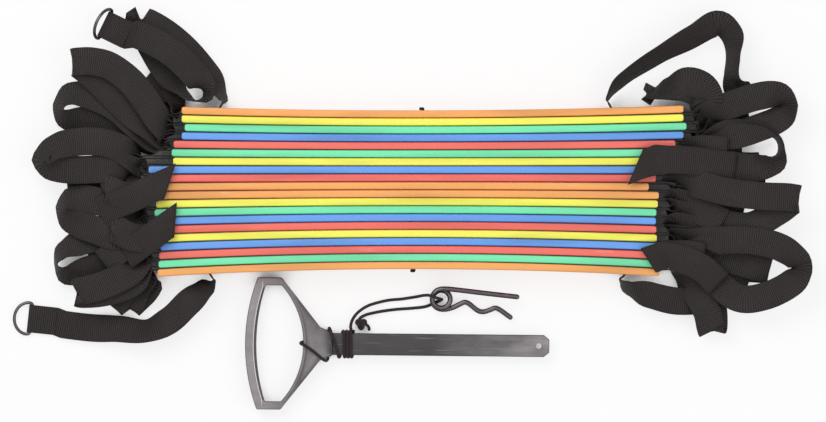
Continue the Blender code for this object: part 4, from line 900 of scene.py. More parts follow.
# %% Loop tables
LEFT_LOOPS = (
    (146, 78, 0.34, 0.20, 8),
    (122, 92, 0.56, 0.42, 9),
    (104, 78, 0.76, 0.62, 8),
    ((166, 134, 0.74, 0.4), (152, 109, 1.02, 1.0), (134, 84, 1.18, 1.0), (112, 67, 1.20, 1.0),
     (94, 62, 1.19, 1.0), (80, 62, 1.15, 1.0), (74, 63, 1.07, 1.0), (80, 65, 0.99, 1.0),
     (98, 80, 0.96, 1.0), (126, 108, 0.90, 1.0), (156, 134, 0.72, 0.5)),
    ((150, 144, 0.60, 0.3), (122, 112, 0.80, 0.9), (94, 97, 0.84, 0.9), (70, 94, 0.80, 0.6),
     (59, 107, 0.70, 0.3), (68, 119, 0.64, 0.6), (90, 121, 0.62, 0.9), (118, 130, 0.60, 0.9),
     (148, 148, 0.56, 0.3)),
    (84, 136, 0.44, 0.30, 9),
    ((135, 161, 0.74, 0.5), (122, 149, 1.00, 1.0), (100, 142, 1.10, 1.0), (72, 143, 1.08, 1.0),
     (53, 149, 1.02, 0.7), (42, 161, 0.94, 0.5), (54, 168, 0.92, 0.8), (76, 170, 0.98, 1.0),
     (104, 169, 1.00, 1.0), (122, 168, 0.90, 0.9), (135, 168, 0.66, 0.4)),
    ((132, 176, 0.56, 0.5), (118, 183, 0.76, 1.0), (108, 188, 0.86, 1.0), (104, 190, 0.94, 1.0),
     (108, 189, 1.02, 1.0), (126, 196, 1.09, 1.0), (146, 192, 1.12, 1.0), (164, 184, 1.12, 1.0),
     (177, 178.5, 1.13, 1.0), (182, 176.3, 1.20, 1.0), (177, 178.5, 1.27, 1.0), (158, 187, 1.27, 1.0),
     (134, 198, 1.20, 1.0), (114, 206, 1.04, 1.0), (103, 210, 0.95, 1.0), (99, 211.5, 0.88, 1.0),
     (103, 210, 0.81, 1.0), (118, 200, 0.70, 0.9), (132, 186, 0.56, 0.4)),
    (68, 184, 0.50, 0.36, 10),
    ((130, 197, 0.60, 0.5), (114, 204, 0.84, 0.9), (92, 200, 0.92, 1.0), (72, 198, 0.88, 0.6),
     (62, 208, 0.80, 0.3), (72, 221, 0.84, 0.7), (94, 229, 0.92, 1.0), (118, 236, 0.88, 1.0),
     (132, 222, 0.70, 0.8), (134, 206, 0.56, 0.4)),
    (100, 218, 0.28, 0.16, 9),
    ((138, 216, 0.56, 0.5), (124, 222, 0.76, 1.0), (115, 227, 0.86, 1.0), (111, 229, 0.94, 1.0),
     (115, 228, 1.02, 1.0), (133, 237, 1.09, 1.0), (150, 237, 1.12, 1.0), (167, 227, 1.12, 1.0),
     (181, 217, 1.13, 1.0), (185.5, 214, 1.20, 1.0), (181, 217, 1.27, 1.0), (164, 229, 1.27, 1.0),
     (148, 240, 1.20, 1.0), (137, 248, 1.05, 1.0), (130, 253, 0.96, 1.0), (126.5, 255.5, 0.89, 1.0),
     (130, 253, 0.82, 1.0), (137, 240, 0.70, 0.8), (141, 226, 0.56, 0.4)),
    (118, 236, 0.44, 0.30, 8),
    ((142, 232, 0.50, 0.3), (110, 236, 0.60, 0.8), (82, 242, 0.64, 0.8), (62, 251, 0.60, 0.4),
     (56, 264, 0.54, 0.1), (66, 275, 0.54, 0.5), (88, 270, 0.56, 0.9), (114, 258, 0.54, 0.9),
     (142, 242, 0.48, 0.3)),
    (104, 262, 0.86, 0.72, 8),
    (92, 262, 0.30, 0.16, 9),
    ((142, 262, 0.66, 0.5), (126, 275, 0.90, 1.0), (104, 285, 1.00, 1.0), (86, 290, 0.98, 1.0),
     (78, 292, 0.91, 1.0), (84, 294, 0.84, 1.0), (106, 292, 0.82, 1.0), (130, 284, 0.76, 1.0),
     (144, 270, 0.58, 0.4)),
    (112, 306, 0.50, 0.36, 9),
    (128, 308, 0.40, 0.26, 8),
)
RIGHT_LOOPS = (
    ((700, 111, 0.60, 0.5), (709, 101, 0.84, 1.0), (703, 87, 0.96, 1.0), (687, 81, 0.92, 0.9),
     (668, 88, 0.80, 0.5), (654, 93, 0.66, 0.25), (648, 94, 0.58, 0.1), (656, 97, 0.50, 0.1),
     (682, 97, 0.46, 0.2), (702, 105, 0.46, 0.5), (702, 115, 0.50, 0.3)),
    ((704, 114, 0.60, 0.5), (730, 105, 0.84, 0.9), (756, 97, 0.90, 1.0), (776, 95, 0.86, 0.8),
     (788, 105, 0.78, 0.4), (780, 118, 0.72, 0.8), (758, 128, 0.70, 1.0), (730, 136, 0.68, 0.9),
     (704, 132, 0.54, 0.4)),
    (748, 112, 0.34, 0.20, 9),
    ((700, 142, 0.50, 0.3), (728, 132, 0.52, 0.7), (756, 130, 0.50, 0.4), (776, 136, 0.50, 0.1),
     (781, 150, 0.54, 0.1), (772, 164, 0.66, 0.6), (748, 168, 0.78, 1.0), (722, 162, 0.74, 0.9),
     (700, 150, 0.54, 0.3)),
    (742, 144, 0.30, 0.16, 9),
    (726, 150, 0.92, 0.78, 9),
    ((692, 168, 0.58, 0.5), (706, 168, 0.78, 1.0), (714, 168, 0.87, 1.0), (717, 168, 0.94, 1.0),
     (712, 167, 1.02, 1.0), (694, 163, 1.10, 1.0), (668, 160, 1.12, 1.0), (644, 164, 1.12, 1.0),
     (625, 171, 1.13, 1.0), (620.3, 172.8, 1.20, 1.0), (625, 171, 1.27, 1.0), (644, 164, 1.27, 1.0),
     (668, 160, 1.26, 1.0), (694, 161, 1.16, 1.0), (716, 164, 1.04, 1.0), (730, 166, 0.95, 1.0),
     (734, 166.6, 0.88, 1.0), (730, 166.5, 0.81, 1.0), (712, 170, 0.70, 0.9), (694, 173, 0.56, 0.4)),
    (758, 166, 0.44, 0.30, 9),
    ((680, 181, 0.84, 0.5), (696, 184, 1.10, 1.0), (726, 192, 1.20, 1.0), (758, 196, 1.22, 1.0),
     (784, 197, 1.19, 1.0), (792, 198, 1.16, 1.0), (797, 199, 1.08, 1.0), (791, 201, 1.00, 1.0),
     (776, 212, 0.96, 1.0), (748, 226, 0.92, 1.0), (716, 220, 0.76, 0.9), (690, 198, 0.56, 0.4)),
    (764, 186, 0.30, 0.16, 9),
    (722, 222, 0.90, 0.76, 8),
    (742, 216, 0.44, 0.30, 9),
    (756, 238, 0.28, 0.14, 9),
    (726, 242, 0.86, 0.72, 9),
    ((684, 238, 0.70, 0.4), (716, 240, 0.88, 0.9), (748, 240, 0.98, 1.0), (776, 246, 0.98, 1.0),
     (795, 258, 0.92, 0.7), (801, 270, 0.86, 0.5), (789, 284, 0.88, 0.9), (764, 296, 0.90, 1.0),
     (738, 298, 0.84, 1.0), (714, 280, 0.70, 0.9), (686, 250, 0.52, 0.4)),
    ((680, 252, 0.56, 0.5), (692, 255, 0.76, 1.0), (700, 256, 0.87, 1.0), (703, 256.4, 0.94, 1.0),
     (699, 256, 1.02, 1.0), (682, 254, 1.10, 1.0), (660, 256, 1.12, 1.0), (642, 262, 1.12, 1.0),
     (630, 266, 1.13, 1.0), (625.5, 267.5, 1.20, 1.0), (630, 266, 1.27, 1.0), (642, 262, 1.27, 1.0),
     (660, 257, 1.27, 1.0), (682, 259, 1.22, 1.0), (702, 269, 1.10, 1.0), (714, 280, 0.98, 1.0),
     (717.5, 283.2, 0.90, 1.0), (714, 280, 0.82, 1.0), (701, 270, 0.70, 0.9), (682, 260, 0.54, 0.4)),
    (768, 270, 0.50, 0.36, 10),
    (748, 282, 0.34, 0.20, 9),
    ((680, 272, 0.50, 0.4), (694, 290, 0.60, 0.9), (706, 310, 0.62, 1.0), (710, 326, 0.58, 1.0),
     (712, 331, 0.50, 1.0), (714, 324, 0.42, 1.0), (712, 304, 0.40, 1.0), (700, 286, 0.44, 0.8),
     (682, 274, 0.50, 0.3)),
)
TAIL_LEFT_TOP = ((222, 104, 0.50, 0.0), (223, 98, 0.50, 0.2), (208, 74, 0.52, 0.7), (182, 46, 0.56, 0.9),
                 (158, 28, 0.52, 1.0), (138, 20, 0.44, 1.0), (150, 44, 0.36, 1.0), (166, 72, 0.38, 0.8),
                 (184, 94, 0.46, 0.2), (196, 101, 0.50, 0.0), (206, 93, 0.62, 0.3), (196, 76, 0.94, 1.0),
                 (172, 53, 1.06, 1.0), (140, 36, 0.96, 1.0))
TAIL_LEFT_BOTTOM = ((212, 277, 0.50, 0.0), (213.5, 281, 0.50, 0.1), (205, 288, 0.54, 0.5),
                    (188, 303, 0.62, 0.9), (170, 320, 0.56, 0.9), (146, 331, 0.46, 0.6),
                    (118, 329, 0.32, 0.8), (90, 328, 0.22, 1.0), (58, 324, 0.14, 1.0))
TAIL_RIGHT_TOP = ((609, 104, 0.50, 0.0), (608, 98, 0.50, 0.1), (622, 80, 0.52, 0.3), (656, 57, 0.60, 0.4),
                  (692, 37, 0.70, 0.6), (716, 24, 0.70, 0.8), (731, 34, 0.60, 0.6), (733, 56, 0.52, 0.3),
                  (732, 76, 0.46, 0.3), (740, 92, 0.20, 1.0))
TAIL_RIGHT_BOTTOM = ((623, 276.5, 0.50, 0.0), (620, 280, 0.50, 0.0), (628, 288, 0.54, 0.3),
                     (650, 295, 0.66, 0.8), (676, 301, 0.60, 0.9), (702, 300, 0.30, 1.0),
                     (722, 296, 0.12, 1.0))
RING_LEFT_TOP = (106, 25, 0.70, 154, 60)
RING_LEFT_BOTTOM = (30, 319, 0.10, 174, 3)
print("loops", len(LEFT_LOOPS), "left and", len(RIGHT_LOOPS), "right")

# %% [markdown]
# ## From a table to a strap
# A strap's place is a point and the direction of its width. Along a route the width turns from upright,
# as the strap leaves a slot, to level, where it lies in the pile. A free run is a soft curve through the
# places of its table, and it stays above the ground.

# %% Free runs of strap
STRAP_STEP = 0.003
LEAST_STEPS = 4


def directed_keys(keys):
    """Give each place its width direction. It never flips over from one place to the next."""
    directed = []
    across = None
    for i, (place, flat) in enumerate(keys):
        run = keys[min(len(keys) - 1, i + 1)][0] - keys[max(0, i - 1)][0]
        sideways = Vector((-run.y, run.x, 0))
        if sideways.length < WEBBING_WIDTH / 4 and across is not None:
            sideways = across.copy()
        sideways.normalize()
        if across is not None and sideways.dot(across) < 0:
            sideways.negate()
        across = sideways
        angle = flat * math.pi / 2
        width = Vector((0, 0, math.cos(angle))) + sideways * math.sin(angle)
        half = WEBBING_WIDTH / 2 * math.cos(angle) + WEBBING_THICKNESS / 2
        directed.append((Vector((place.x, place.y, max(place.z, half))), width))
    return directed


def strap_run(keys):
    """Sample a free stretch of strap between its places."""
    directed = directed_keys(keys)
    places = [place for place, _ in directed]
    padded = [places[0] * 2 - places[1], *places, places[-1] * 2 - places[-2]]
    samples = []
    for i in range(len(places) - 1):
        a, b, c, d = padded[i:i + 4]
        count = max(LEAST_STEPS, round((c - b).length / STRAP_STEP))
        for j in range(count):
            t = j / count
            ease = t * t * (3 - 2 * t)
            width = directed[i][1].lerp(directed[i + 1][1], ease).normalized()
            place = soft_step(a, b, c, d, t)
            place.z = max(place.z, abs(width.z) * WEBBING_WIDTH / 2 + WEBBING_THICKNESS)
            samples.append((place, width))
    samples.append((places[-1], directed[-1][1].normalized()))
    return samples


print("a strap has a place every", STRAP_STEP * 1000, "mm")

# %% [markdown]
# ## Through the rungs
# Inside the stack a strap stands on edge. It follows the recess on one face of a rung, goes round the
# outer wall of the slot in a tight bend and comes back along the other face. At the two outer rungs it
# goes on to the outer face instead and runs a little way inwards there, where its tail begins.

# %% Through the rungs
LEG_CLEARANCE = 0.0003
TURN_STEPS = 6


def leg(index, side, face, from_x, to_x):
    """The strap along a rung's recess, in even steps."""
    count = max(1, round(abs(to_x - from_x) / STRAP_STEP))
    offset = RUNG_THICKNESS / 2 - RECESS_DEPTH + LEG_CLEARANCE + WEBBING_THICKNESS / 2
    way = []
    for i in range(count + 1):
        x = from_x + (to_x - from_x) * i / count
        way.append(Vector((x, rung_y(index, x) + face * offset, RUNG_HEIGHT / 2)))
    return way


def slot_turn(index, side, first_face, wall):
    """Half of the way round one wall of the slot. wall is +1 for the outer wall."""
    turn = LEG_CLEARANCE + WEBBING_THICKNESS / 2
    x = strap_slot_x(index, side) + wall * side * STRAP_SLOT_WIDTH / 2
    y = rung_y(index, x) + first_face * (RUNG_THICKNESS / 2 - RECESS_DEPTH)
    corner = Vector((x, y, RUNG_HEIGHT / 2))
    angles = [i * math.pi / 2 / TURN_STEPS for i in range(TURN_STEPS + 1)]
    return [corner + Vector((-wall * side * math.sin(a), first_face * math.cos(a), 0)) * turn
            for a in angles]


def upright(points):
    return [(place, Vector((0, 0, 1))) for place in points]


def through_rung(index, side):
    far = rung_end_x(index, side)
    near = strap_slot_x(index, side) + side * STRAP_SLOT_WIDTH
    return upright(leg(index, side, 1, far, near) + slot_turn(index, side, 1, 1)
                   + slot_turn(index, side, -1, 1)[::-1] + leg(index, side, -1, near, far))


def through_outer_rung(index, side, outer_face, exit_x):
    far = rung_end_x(index, side)
    near = strap_slot_x(index, side)
    beside = side * STRAP_SLOT_WIDTH
    way = (leg(index, side, -outer_face, far, near + beside) + slot_turn(index, side, -outer_face, 1)
           + slot_turn(index, side, outer_face, -1)[::-1]
           + leg(index, side, outer_face, near - beside, exit_x))
    return upright(way[::-1] if outer_face > 0 else way)


print("a strap through a rung has", len(through_rung(1, 1)), "places")

# %% [markdown]
# ## Loops
# A loop leaves one rung, hangs out past the rungs' ends and comes back to the next rung. A loop that shows
# goes through the places of its table. A hidden one is folded over flat at its tip, and its two legs
# spread a little on the way.

# %% Loops between the rungs
LEG_TURN_SHARE = 0.30
LEG_TURN_FLAT = 0.6
LEG_FLAT_SHARE = 0.65


def free_loop(index, side, loop):
    """One loop between a rung and the next: out, over its fold or round its bend, and back."""
    around = range(max(0, index - 1), min(RUNG_COUNT, index + 3))
    lane = side * (max(side * rung_end_x(i, side) for i in around) + STRAP_SLOT_WIDTH / 2)
    start = leg(index, side, -1, lane, lane)[0]
    end = leg(index + 1, side, 1, lane, lane)[0]
    straight = Vector((side * WEBBING_WIDTH / 4, 0, 0))
    if isinstance(loop[0], tuple):
        middle = [(photo(x, y, share * RUNG_HEIGHT), flat) for x, y, share, flat in loop]
    else:
        middle = hidden_loop(loop, (start + end) / 2)
    return [(start, 0), (start + straight, 0), *middle, (end + straight, 0), (end, 0)]


def hidden_loop(loop, root):
    """A plain loop folded over flat at its tip, with its legs spread a little on the way."""
    tip_x, tip_y, out_share, back_share, spread = loop
    tip = photo(tip_x, tip_y)
    run = tip - Vector((root.x, root.y, 0))
    forward = run.normalized()
    aside = Vector((-forward.y, forward.x, 0)) * spread * METRES_PER_PIXEL
    if aside.y < 0:
        aside.negate()
    out_height, back_height = out_share * RUNG_HEIGHT, back_share * RUNG_HEIGHT
    fold = forward * abs(out_height - back_height) / 2
    legs = []
    for height, way in ((out_height, 1), (back_height, -1)):
        places = []
        for share, flat in ((LEG_TURN_SHARE, LEG_TURN_FLAT), (LEG_FLAT_SHARE, 1)):
            place = tip - run * (1 - share) + aside * (1 - share) * way
            place.z = RUNG_HEIGHT / 2 + (height - RUNG_HEIGHT / 2) * flat
            places.append((place, flat))
        places.append((tip - fold + Vector((0, 0, height)), 1))
        legs.append(places)
    crown = (tip + Vector((0, 0, (out_height + back_height) / 2)), 1)
    return [*legs[0], crown, *reversed(legs[1])]


print("the first loop has", len(free_loop(0, -1, LEFT_LOOPS[0])), "places")

# %% [markdown]
# ## Tails and whole straps
# The free ends of the straps are their tails. The two at the left end in a fold that is sewn round the
# bar of a D-ring, and the two at the right are plain. A whole strap is then a tail, the twenty rungs with
# a loop between each two, and the other tail.

# %% Tails and whole straps
RING_WIRE = 0.0028
FOLD_BACK_LENGTH = 0.020
FOLD_JOIN_GAP = 0.008


def ring_frame(ring):
    """Bar place, strap heading, bar direction and tilt of a ring at a strap's end."""
    x, y, height_share, heading, tilt = ring
    angle = math.radians(heading)
    forward = Vector((math.cos(angle), math.sin(angle), 0))
    return (photo(x, y, height_share * RUNG_HEIGHT), forward, Vector((-forward.y, forward.x, 0)),
            math.radians(tilt))


def ring_fold(ring):
    """The strap round the ring's bar and back over itself, where it is sewn."""
    place, forward, across, _ = ring_frame(ring)
    reach = RING_WIRE / 2 + LEG_CLEARANCE + WEBBING_THICKNESS / 2
    lap = (WEBBING_THICKNESS + LEG_CLEARANCE) / 2
    ends = [forward * -(FOLD_BACK_LENGTH + reach), forward * -(2 * reach)]
    way = [place + end + Vector((0, 0, -lap)) for end in ends]
    for step in range(4 * TURN_STEPS + 1):
        angle = -math.pi / 2 + step * math.pi / (4 * TURN_STEPS)
        way.append(place + (forward * math.cos(angle) + Vector((0, 0, math.sin(angle)))) * reach)
    way += [place + end + Vector((0, 0, lap)) for end in reversed(ends)]
    return [(point, across) for point in way]


def tail(keys, ring):
    """The free end of a strap, from the outer rung to its ring or its plain end."""
    places = [(photo(x, y, share * RUNG_HEIGHT), flat) for x, y, share, flat in keys]
    if ring is None:
        return strap_run(places)
    fold = ring_fold(ring)
    samples = strap_run([*places, (fold[0][0], 1.0)])
    while (samples[-1][0] - fold[0][0]).length < FOLD_JOIN_GAP:
        samples.pop()
    if samples[-1][1].dot(fold[0][1]) < 0:
        fold = [(place, -width) for place, width in fold]
    return samples + fold


def strap_way(side, loops, top_tail, top_ring, bottom_tail, bottom_ring):
    """One whole strap: tail, every rung in turn with its loops, tail."""
    beside = side * STRAP_SLOT_WIDTH / 2
    way = tail(top_tail, top_ring)[::-1]
    way += through_outer_rung(0, side, 1, photo(top_tail[0][0], 0).x + beside)
    for index, loop in enumerate(loops):
        way += strap_run(free_loop(index, side, loop))
        if index + 2 < RUNG_COUNT:
            way += through_rung(index + 1, side)
    way += through_outer_rung(RUNG_COUNT - 1, side, -1, photo(bottom_tail[0][0], 0).x + beside)
    return way + tail(bottom_tail, bottom_ring)


way_left = strap_way(-1, LEFT_LOOPS, TAIL_LEFT_TOP, RING_LEFT_TOP, TAIL_LEFT_BOTTOM, RING_LEFT_BOTTOM)
way_right = strap_way(1, RIGHT_LOOPS, TAIL_RIGHT_TOP, None, TAIL_RIGHT_BOTTOM, None)
print("stations", len(way_left), "and", len(way_right))

# %% [markdown]
# ## Weaving the straps
# The section of a strap is flat in the middle and rolled at its two edges. It is carried along the route
# with the width direction of each place, never flatter than the bend allows, and it keeps its true
# lengths, so the weave stays the same size on every loop.

# %% The two straps
EDGE_STEPS = 4
FLAT_STEPS = 3
SLANT_REACH = 0.050
SLANT_RUN = 3
LEAST_MITRE = 0.75
LEAST_GAP = 0.0002
# Folds over the rungs that lie askew: pixel and height share, then how far the upper and lower edges
# are drawn back towards the pile
LEFT_SLANTS = ((182, 176.3, 1.20, 0.000, 0.022), (185.5, 214, 1.20, 0.000, 0.020))
RIGHT_SLANTS = ((620.3, 172.8, 1.20, 0.026, 0.002), (625.5, 267.5, 1.20, 0.018, 0.024))


def webbing_section():
    """Offsets across and through the webbing, all the way round, and the weave's measure at each."""
    half, thick = WEBBING_WIDTH / 2, WEBBING_THICKNESS / 2
    flat_half = half - thick
    top = [(-flat_half + 2 * flat_half * i / FLAT_STEPS, thick) for i in range(FLAT_STEPS + 1)]
    edge = [(flat_half + thick * math.sin(a), thick * math.cos(a))
            for a in (math.pi * i / EDGE_STEPS for i in range(1, EDGE_STEPS))]
    one_side = top + edge
    other_side = [(-x, -z) for x, z in one_side]
    section = one_side + other_side
    measure = [max(0.0, min(WEBBING_WIDTH, x + half)) for x, _ in section]
    return section, measure + measure[:1]


def slant(places, run, fold):
    """For each place, how far the two edges of the strap are drawn in near a fold that lies askew."""
    x, y, height_share, upper, lower = fold
    crown = photo(x, y, height_share * RUNG_HEIGHT)
    at = min(range(len(places)), key=lambda i: (places[i] - crown).length)
    inward = places[min(len(places) - 1, at + SLANT_RUN)] - places[at]
    inward.z = 0
    inward.normalize()
    upward = Vector((-inward.y, inward.x, 0))
    if upward.y < 0:
        upward.negate()
    drawn = {}
    for i, distance in enumerate(run):
        share = max(0.0, 1 - abs(distance - run[at]) / SLANT_REACH)
        if share:
            drawn[i] = (inward * share * share * (3 - 2 * share), upward, upper, lower)
    return drawn


def strap_mesh(name, way, folds):
    """Carry the section along the way, with its edges drawn in at the folds that lie askew."""
    section, measure = webbing_section()
    rings = []
    places = [place for place, _ in way]
    run = distances(places)
    drawn = {}
    for fold in folds:
        drawn.update(slant(places, run, fold))
    last = len(way) - 1
    for i, (place, width) in enumerate(way):
        before = (place - places[i - 1] if i else places[1] - place).normalized()
        after = (places[i + 1] - place).normalized() if i < last else before
        along = (before + after).normalized()
        side = (width - along * width.dot(along)).normalized()
        face = along.cross(side)
        mitre = 1 / max(LEAST_MITRE, along.dot(after))
        ring = [place + side * x + face * z * mitre for x, z in section]
        if i in drawn:
            inward, upward, upper, lower = drawn[i]
            for k, corner in enumerate(ring):
                level = 0.5 + (corner - place).dot(upward) / WEBBING_WIDTH
                ring[k] = corner + inward * (lower + (upper - lower) * level)
        sunk = max(0, LEG_CLEARANCE - min(corner.z for corner in ring))
        rings.append([corner + Vector((0, 0, sunk)) for corner in ring])
    return swept(name, rings, measure, run)


for node, way, folds in (("strap_left", way_left, LEFT_SLANTS), ("strap_right", way_right, RIGHT_SLANTS)):
    joined = [way[0]]
    for place, width in way[1:]:
        if (place - joined[-1][0]).length > LEAST_GAP:
            joined.append((place, width))
    mesh = strap_mesh(f"woven_{node}", joined, folds)
    strap = keep_piece(f"woven_{node}", mesh, webbing_finish, "stack", (node,))

# %% [markdown]
# ## Dark steel
# The rings and the clip are steel wire with a thin dark coat. The coat is rubbed through a little in
# patches, where bare metal shines.

# %% Steel finish
RUB_PATCHES_PER_METRE = 420.0
RUB_SHARES = (0.58, 0.72)
RUB_STRENGTH = 0.6
COAT_SHARES = (0.3, 0.7)
COAT_ROUGHNESSES = (0.224, 0.364)
COAT_GRAIN_DEPTH = 0.0001
COAT_METAL = 0.9


def dark_steel(name, coat_hex, bare_hex, rim_hex):
    """Coated wire. The rim colour is the dark that it reflects at a glancing angle."""
    made, tree = start_material(name)
    place = add(tree, "ShaderNodeTexCoord").outputs["Object"]
    patches = add(tree, "ShaderNodeTexNoise", Vector=place, Scale=RUB_PATCHES_PER_METRE, Detail=5.0,
                  Roughness=0.65)
    worn = add(tree, "ShaderNodeMapRange", Value=patches, From_Min=RUB_SHARES[0], From_Max=RUB_SHARES[1],
               To_Max=RUB_STRENGTH)
    colour = add(tree, "ShaderNodeMix", COLOURS, Factor=worn, A=linear(coat_hex), B=linear(bare_hex))
    gloss = add(tree, "ShaderNodeMapRange", Value=patches, From_Min=COAT_SHARES[0],
                From_Max=COAT_SHARES[1], To_Min=COAT_ROUGHNESSES[0], To_Max=COAT_ROUGHNESSES[1])
    grain = add(tree, "ShaderNodeBump", Strength=0.12, Distance=COAT_GRAIN_DEPTH, Height=patches)
    shader = add(tree, "ShaderNodeBsdfPrincipled", Base_Color=colour, Metallic=COAT_METAL,
                 Roughness=gloss, Specular_Tint=linear(rim_hex), Normal=grain)
    add(tree, "ShaderNodeOutputMaterial", Surface=shader)
    return made


steel_finish = dark_steel("dark_coated_steel", "#666166", "#9a9290", "#2a2425")
print("steel wire", RING_WIRE * 1000, "mm in the rings")

# %% [markdown]
# ## Rings at the strap ends
# Two D-rings show, one held up by its stiff strap end and one lying flat. Each is bent from wire around
# a straight bar, which lies inside the sewn fold.

# %% D-rings
RING_INSIDE_WIDTH = 0.0256
RING_DEPTH = 0.0150
RING_ARC_STEPS = 12
RING_SIDES = 16


def ring_line():
    """Middle line of a D: along the bar, and out from it."""
    half = (RING_INSIDE_WIDTH + RING_WIRE) / 2
    points = [Vector((along, 0)) for along in (-half + RING_WIRE / 2, -half / 2, 0, half / 2,
                                               half - RING_WIRE / 2)]
    for step in range(RING_ARC_STEPS + 1):
        angle = math.pi * step / RING_ARC_STEPS
        points.append(Vector((half * math.cos(angle),
                              RING_WIRE + (RING_DEPTH - RING_WIRE) * math.sin(angle))))
    return points


for node, body, ring in (("d_ring_upper", "upper_ring", RING_LEFT_TOP),
                         ("d_ring_lower", "lower_ring", RING_LEFT_BOTTOM)):
    place, forward, across, tilt = ring_frame(ring)
    out = forward * math.cos(tilt) + Vector((0, 0, math.sin(tilt)))
    line = smooth_route([place + across * s + out * d for s, d in ring_line()], RING_WIRE / 3, closed=True)
    mesh = tube(f"wire_{node}", line, RING_WIRE, RING_SIDES, closed=True)
    keep_piece(f"wire_{node}", mesh, steel_finish, body, (node,))
    print(node, len(mesh.polygons), "faces")

# %% [markdown]
# ## Spring clip
# The clip is bent from one length of wire: a straight leg that goes through the bar's hole, a coiled
# eye that springs, and a leg with a wave that grips.

# %% R-clip
CLIP_WIRE = 0.0046
CLIP_EYE_RADIUS = 0.0078
CLIP_EYE_SPREAD = 0.0014
CLIP_EYE_TURNS = 1.5
CLIP_LIFT = 0.0034
COIL_CLEARANCE = 0.0003
CLIP_EYE_PLACE = (441.6, 299.3)
CLIP_EYE_STEPS = 12
CLIP_SIDES = 18
STRAIGHT_LEG = ((0.0700, 0.0019), (0.0400, 0.0053), (0.0150, 0.0083), (0.0060, 0.0092))
WAVED_LEG = ((0.0050, -0.0090), (0.0109, -0.0073), (0.0170, -0.0043), (0.0210, -0.0028), (0.0250, -0.0043),
             (0.0325, -0.0102), (0.0379, -0.0114), (0.0440, -0.0096), (0.0482, -0.0080), (0.0528, -0.0098),
             (0.0637, -0.0176))


def clip_line():
    """Middle line of the wire: the straight leg, down round the coiled eye, and the waved leg."""
    rise = CLIP_WIRE + COIL_CLEARANCE
    points = [Vector((reach, across, rise * CLIP_EYE_TURNS)) for reach, across in STRAIGHT_LEG]
    count = round(CLIP_EYE_TURNS * CLIP_EYE_STEPS)
    for step in range(count + 1):
        share = step / count
        angle = math.pi / 2 + 2 * math.pi * CLIP_EYE_TURNS * share
        radius = CLIP_EYE_RADIUS + CLIP_EYE_SPREAD * (2 * share - 1) ** 2
        points.append(Vector((radius * math.cos(angle), radius * math.sin(angle),
                              rise * CLIP_EYE_TURNS * (1 - share))))
    points.extend(Vector((reach, across, 0)) for reach, across in WAVED_LEG)
    eye = photo(*CLIP_EYE_PLACE, CLIP_LIFT + CLIP_WIRE / 2)
    return [eye + point for point in points]


line = smooth_route(clip_line(), CLIP_WIRE / 4)
mesh = tube("bent_r_clip", line, CLIP_WIRE, CLIP_SIDES)
keep_piece("bent_r_clip", mesh, steel_finish, "clip", ("r_clip",))
print("clip wire", round(distances(line)[-1] * 1000), "mm long")

# %% [markdown]
# ## Holder plastic
# The holder is one moulding in dark grey ABS with a fine spark-eroded grain. Its grip is painted palest,
# a painted highlight, the handle is a little darker and the bar is painted darkest, a painted shade, with
# long thin scratches and a pale tip from the rungs that slide over it. The top of the bead beside the grip
# is painted pale, a painted highlight, and the rims that face sideways are painted darker, a painted shade.
# All of it is laid out in the holder's own frame.

# %% Holder finish
BEAD_DIAMETER = 0.0013
NECK_LENGTH = 0.0115
BAR_LENGTH = 0.1950
GRIP_HIGHLIGHT_FROM = 0.0120
GRIP_HIGHLIGHT_TO = 0.0350
RUBBED_FROM = 0.1650
RUBBED_SHARES = (0.35, 1.0)
SCRATCHES_PER_METRE = 700.0
SCRATCH_STRETCH = 0.04
SCRATCH_SHARES = (0.60, 0.70)
SCRATCH_STRENGTH = 0.35
CLOUDS_PER_METRE = 95.0
CLOUD_STRETCH = 0.35
CLOUD_SHARES = (0.32, 0.68)
CLOUD_SHADES = (0.86, 1.14)
CLOUD_ROUGHNESSES = (0.30, 0.44)
RIM_FACING = (0.60, 0.92)
RIM_PAINTED_SHADE = 0.12
SPARK_GRAINS_PER_METRE = 1800.0
SPARK_GRAIN_DEPTH = 0.0001
ABS_IOR = 1.53


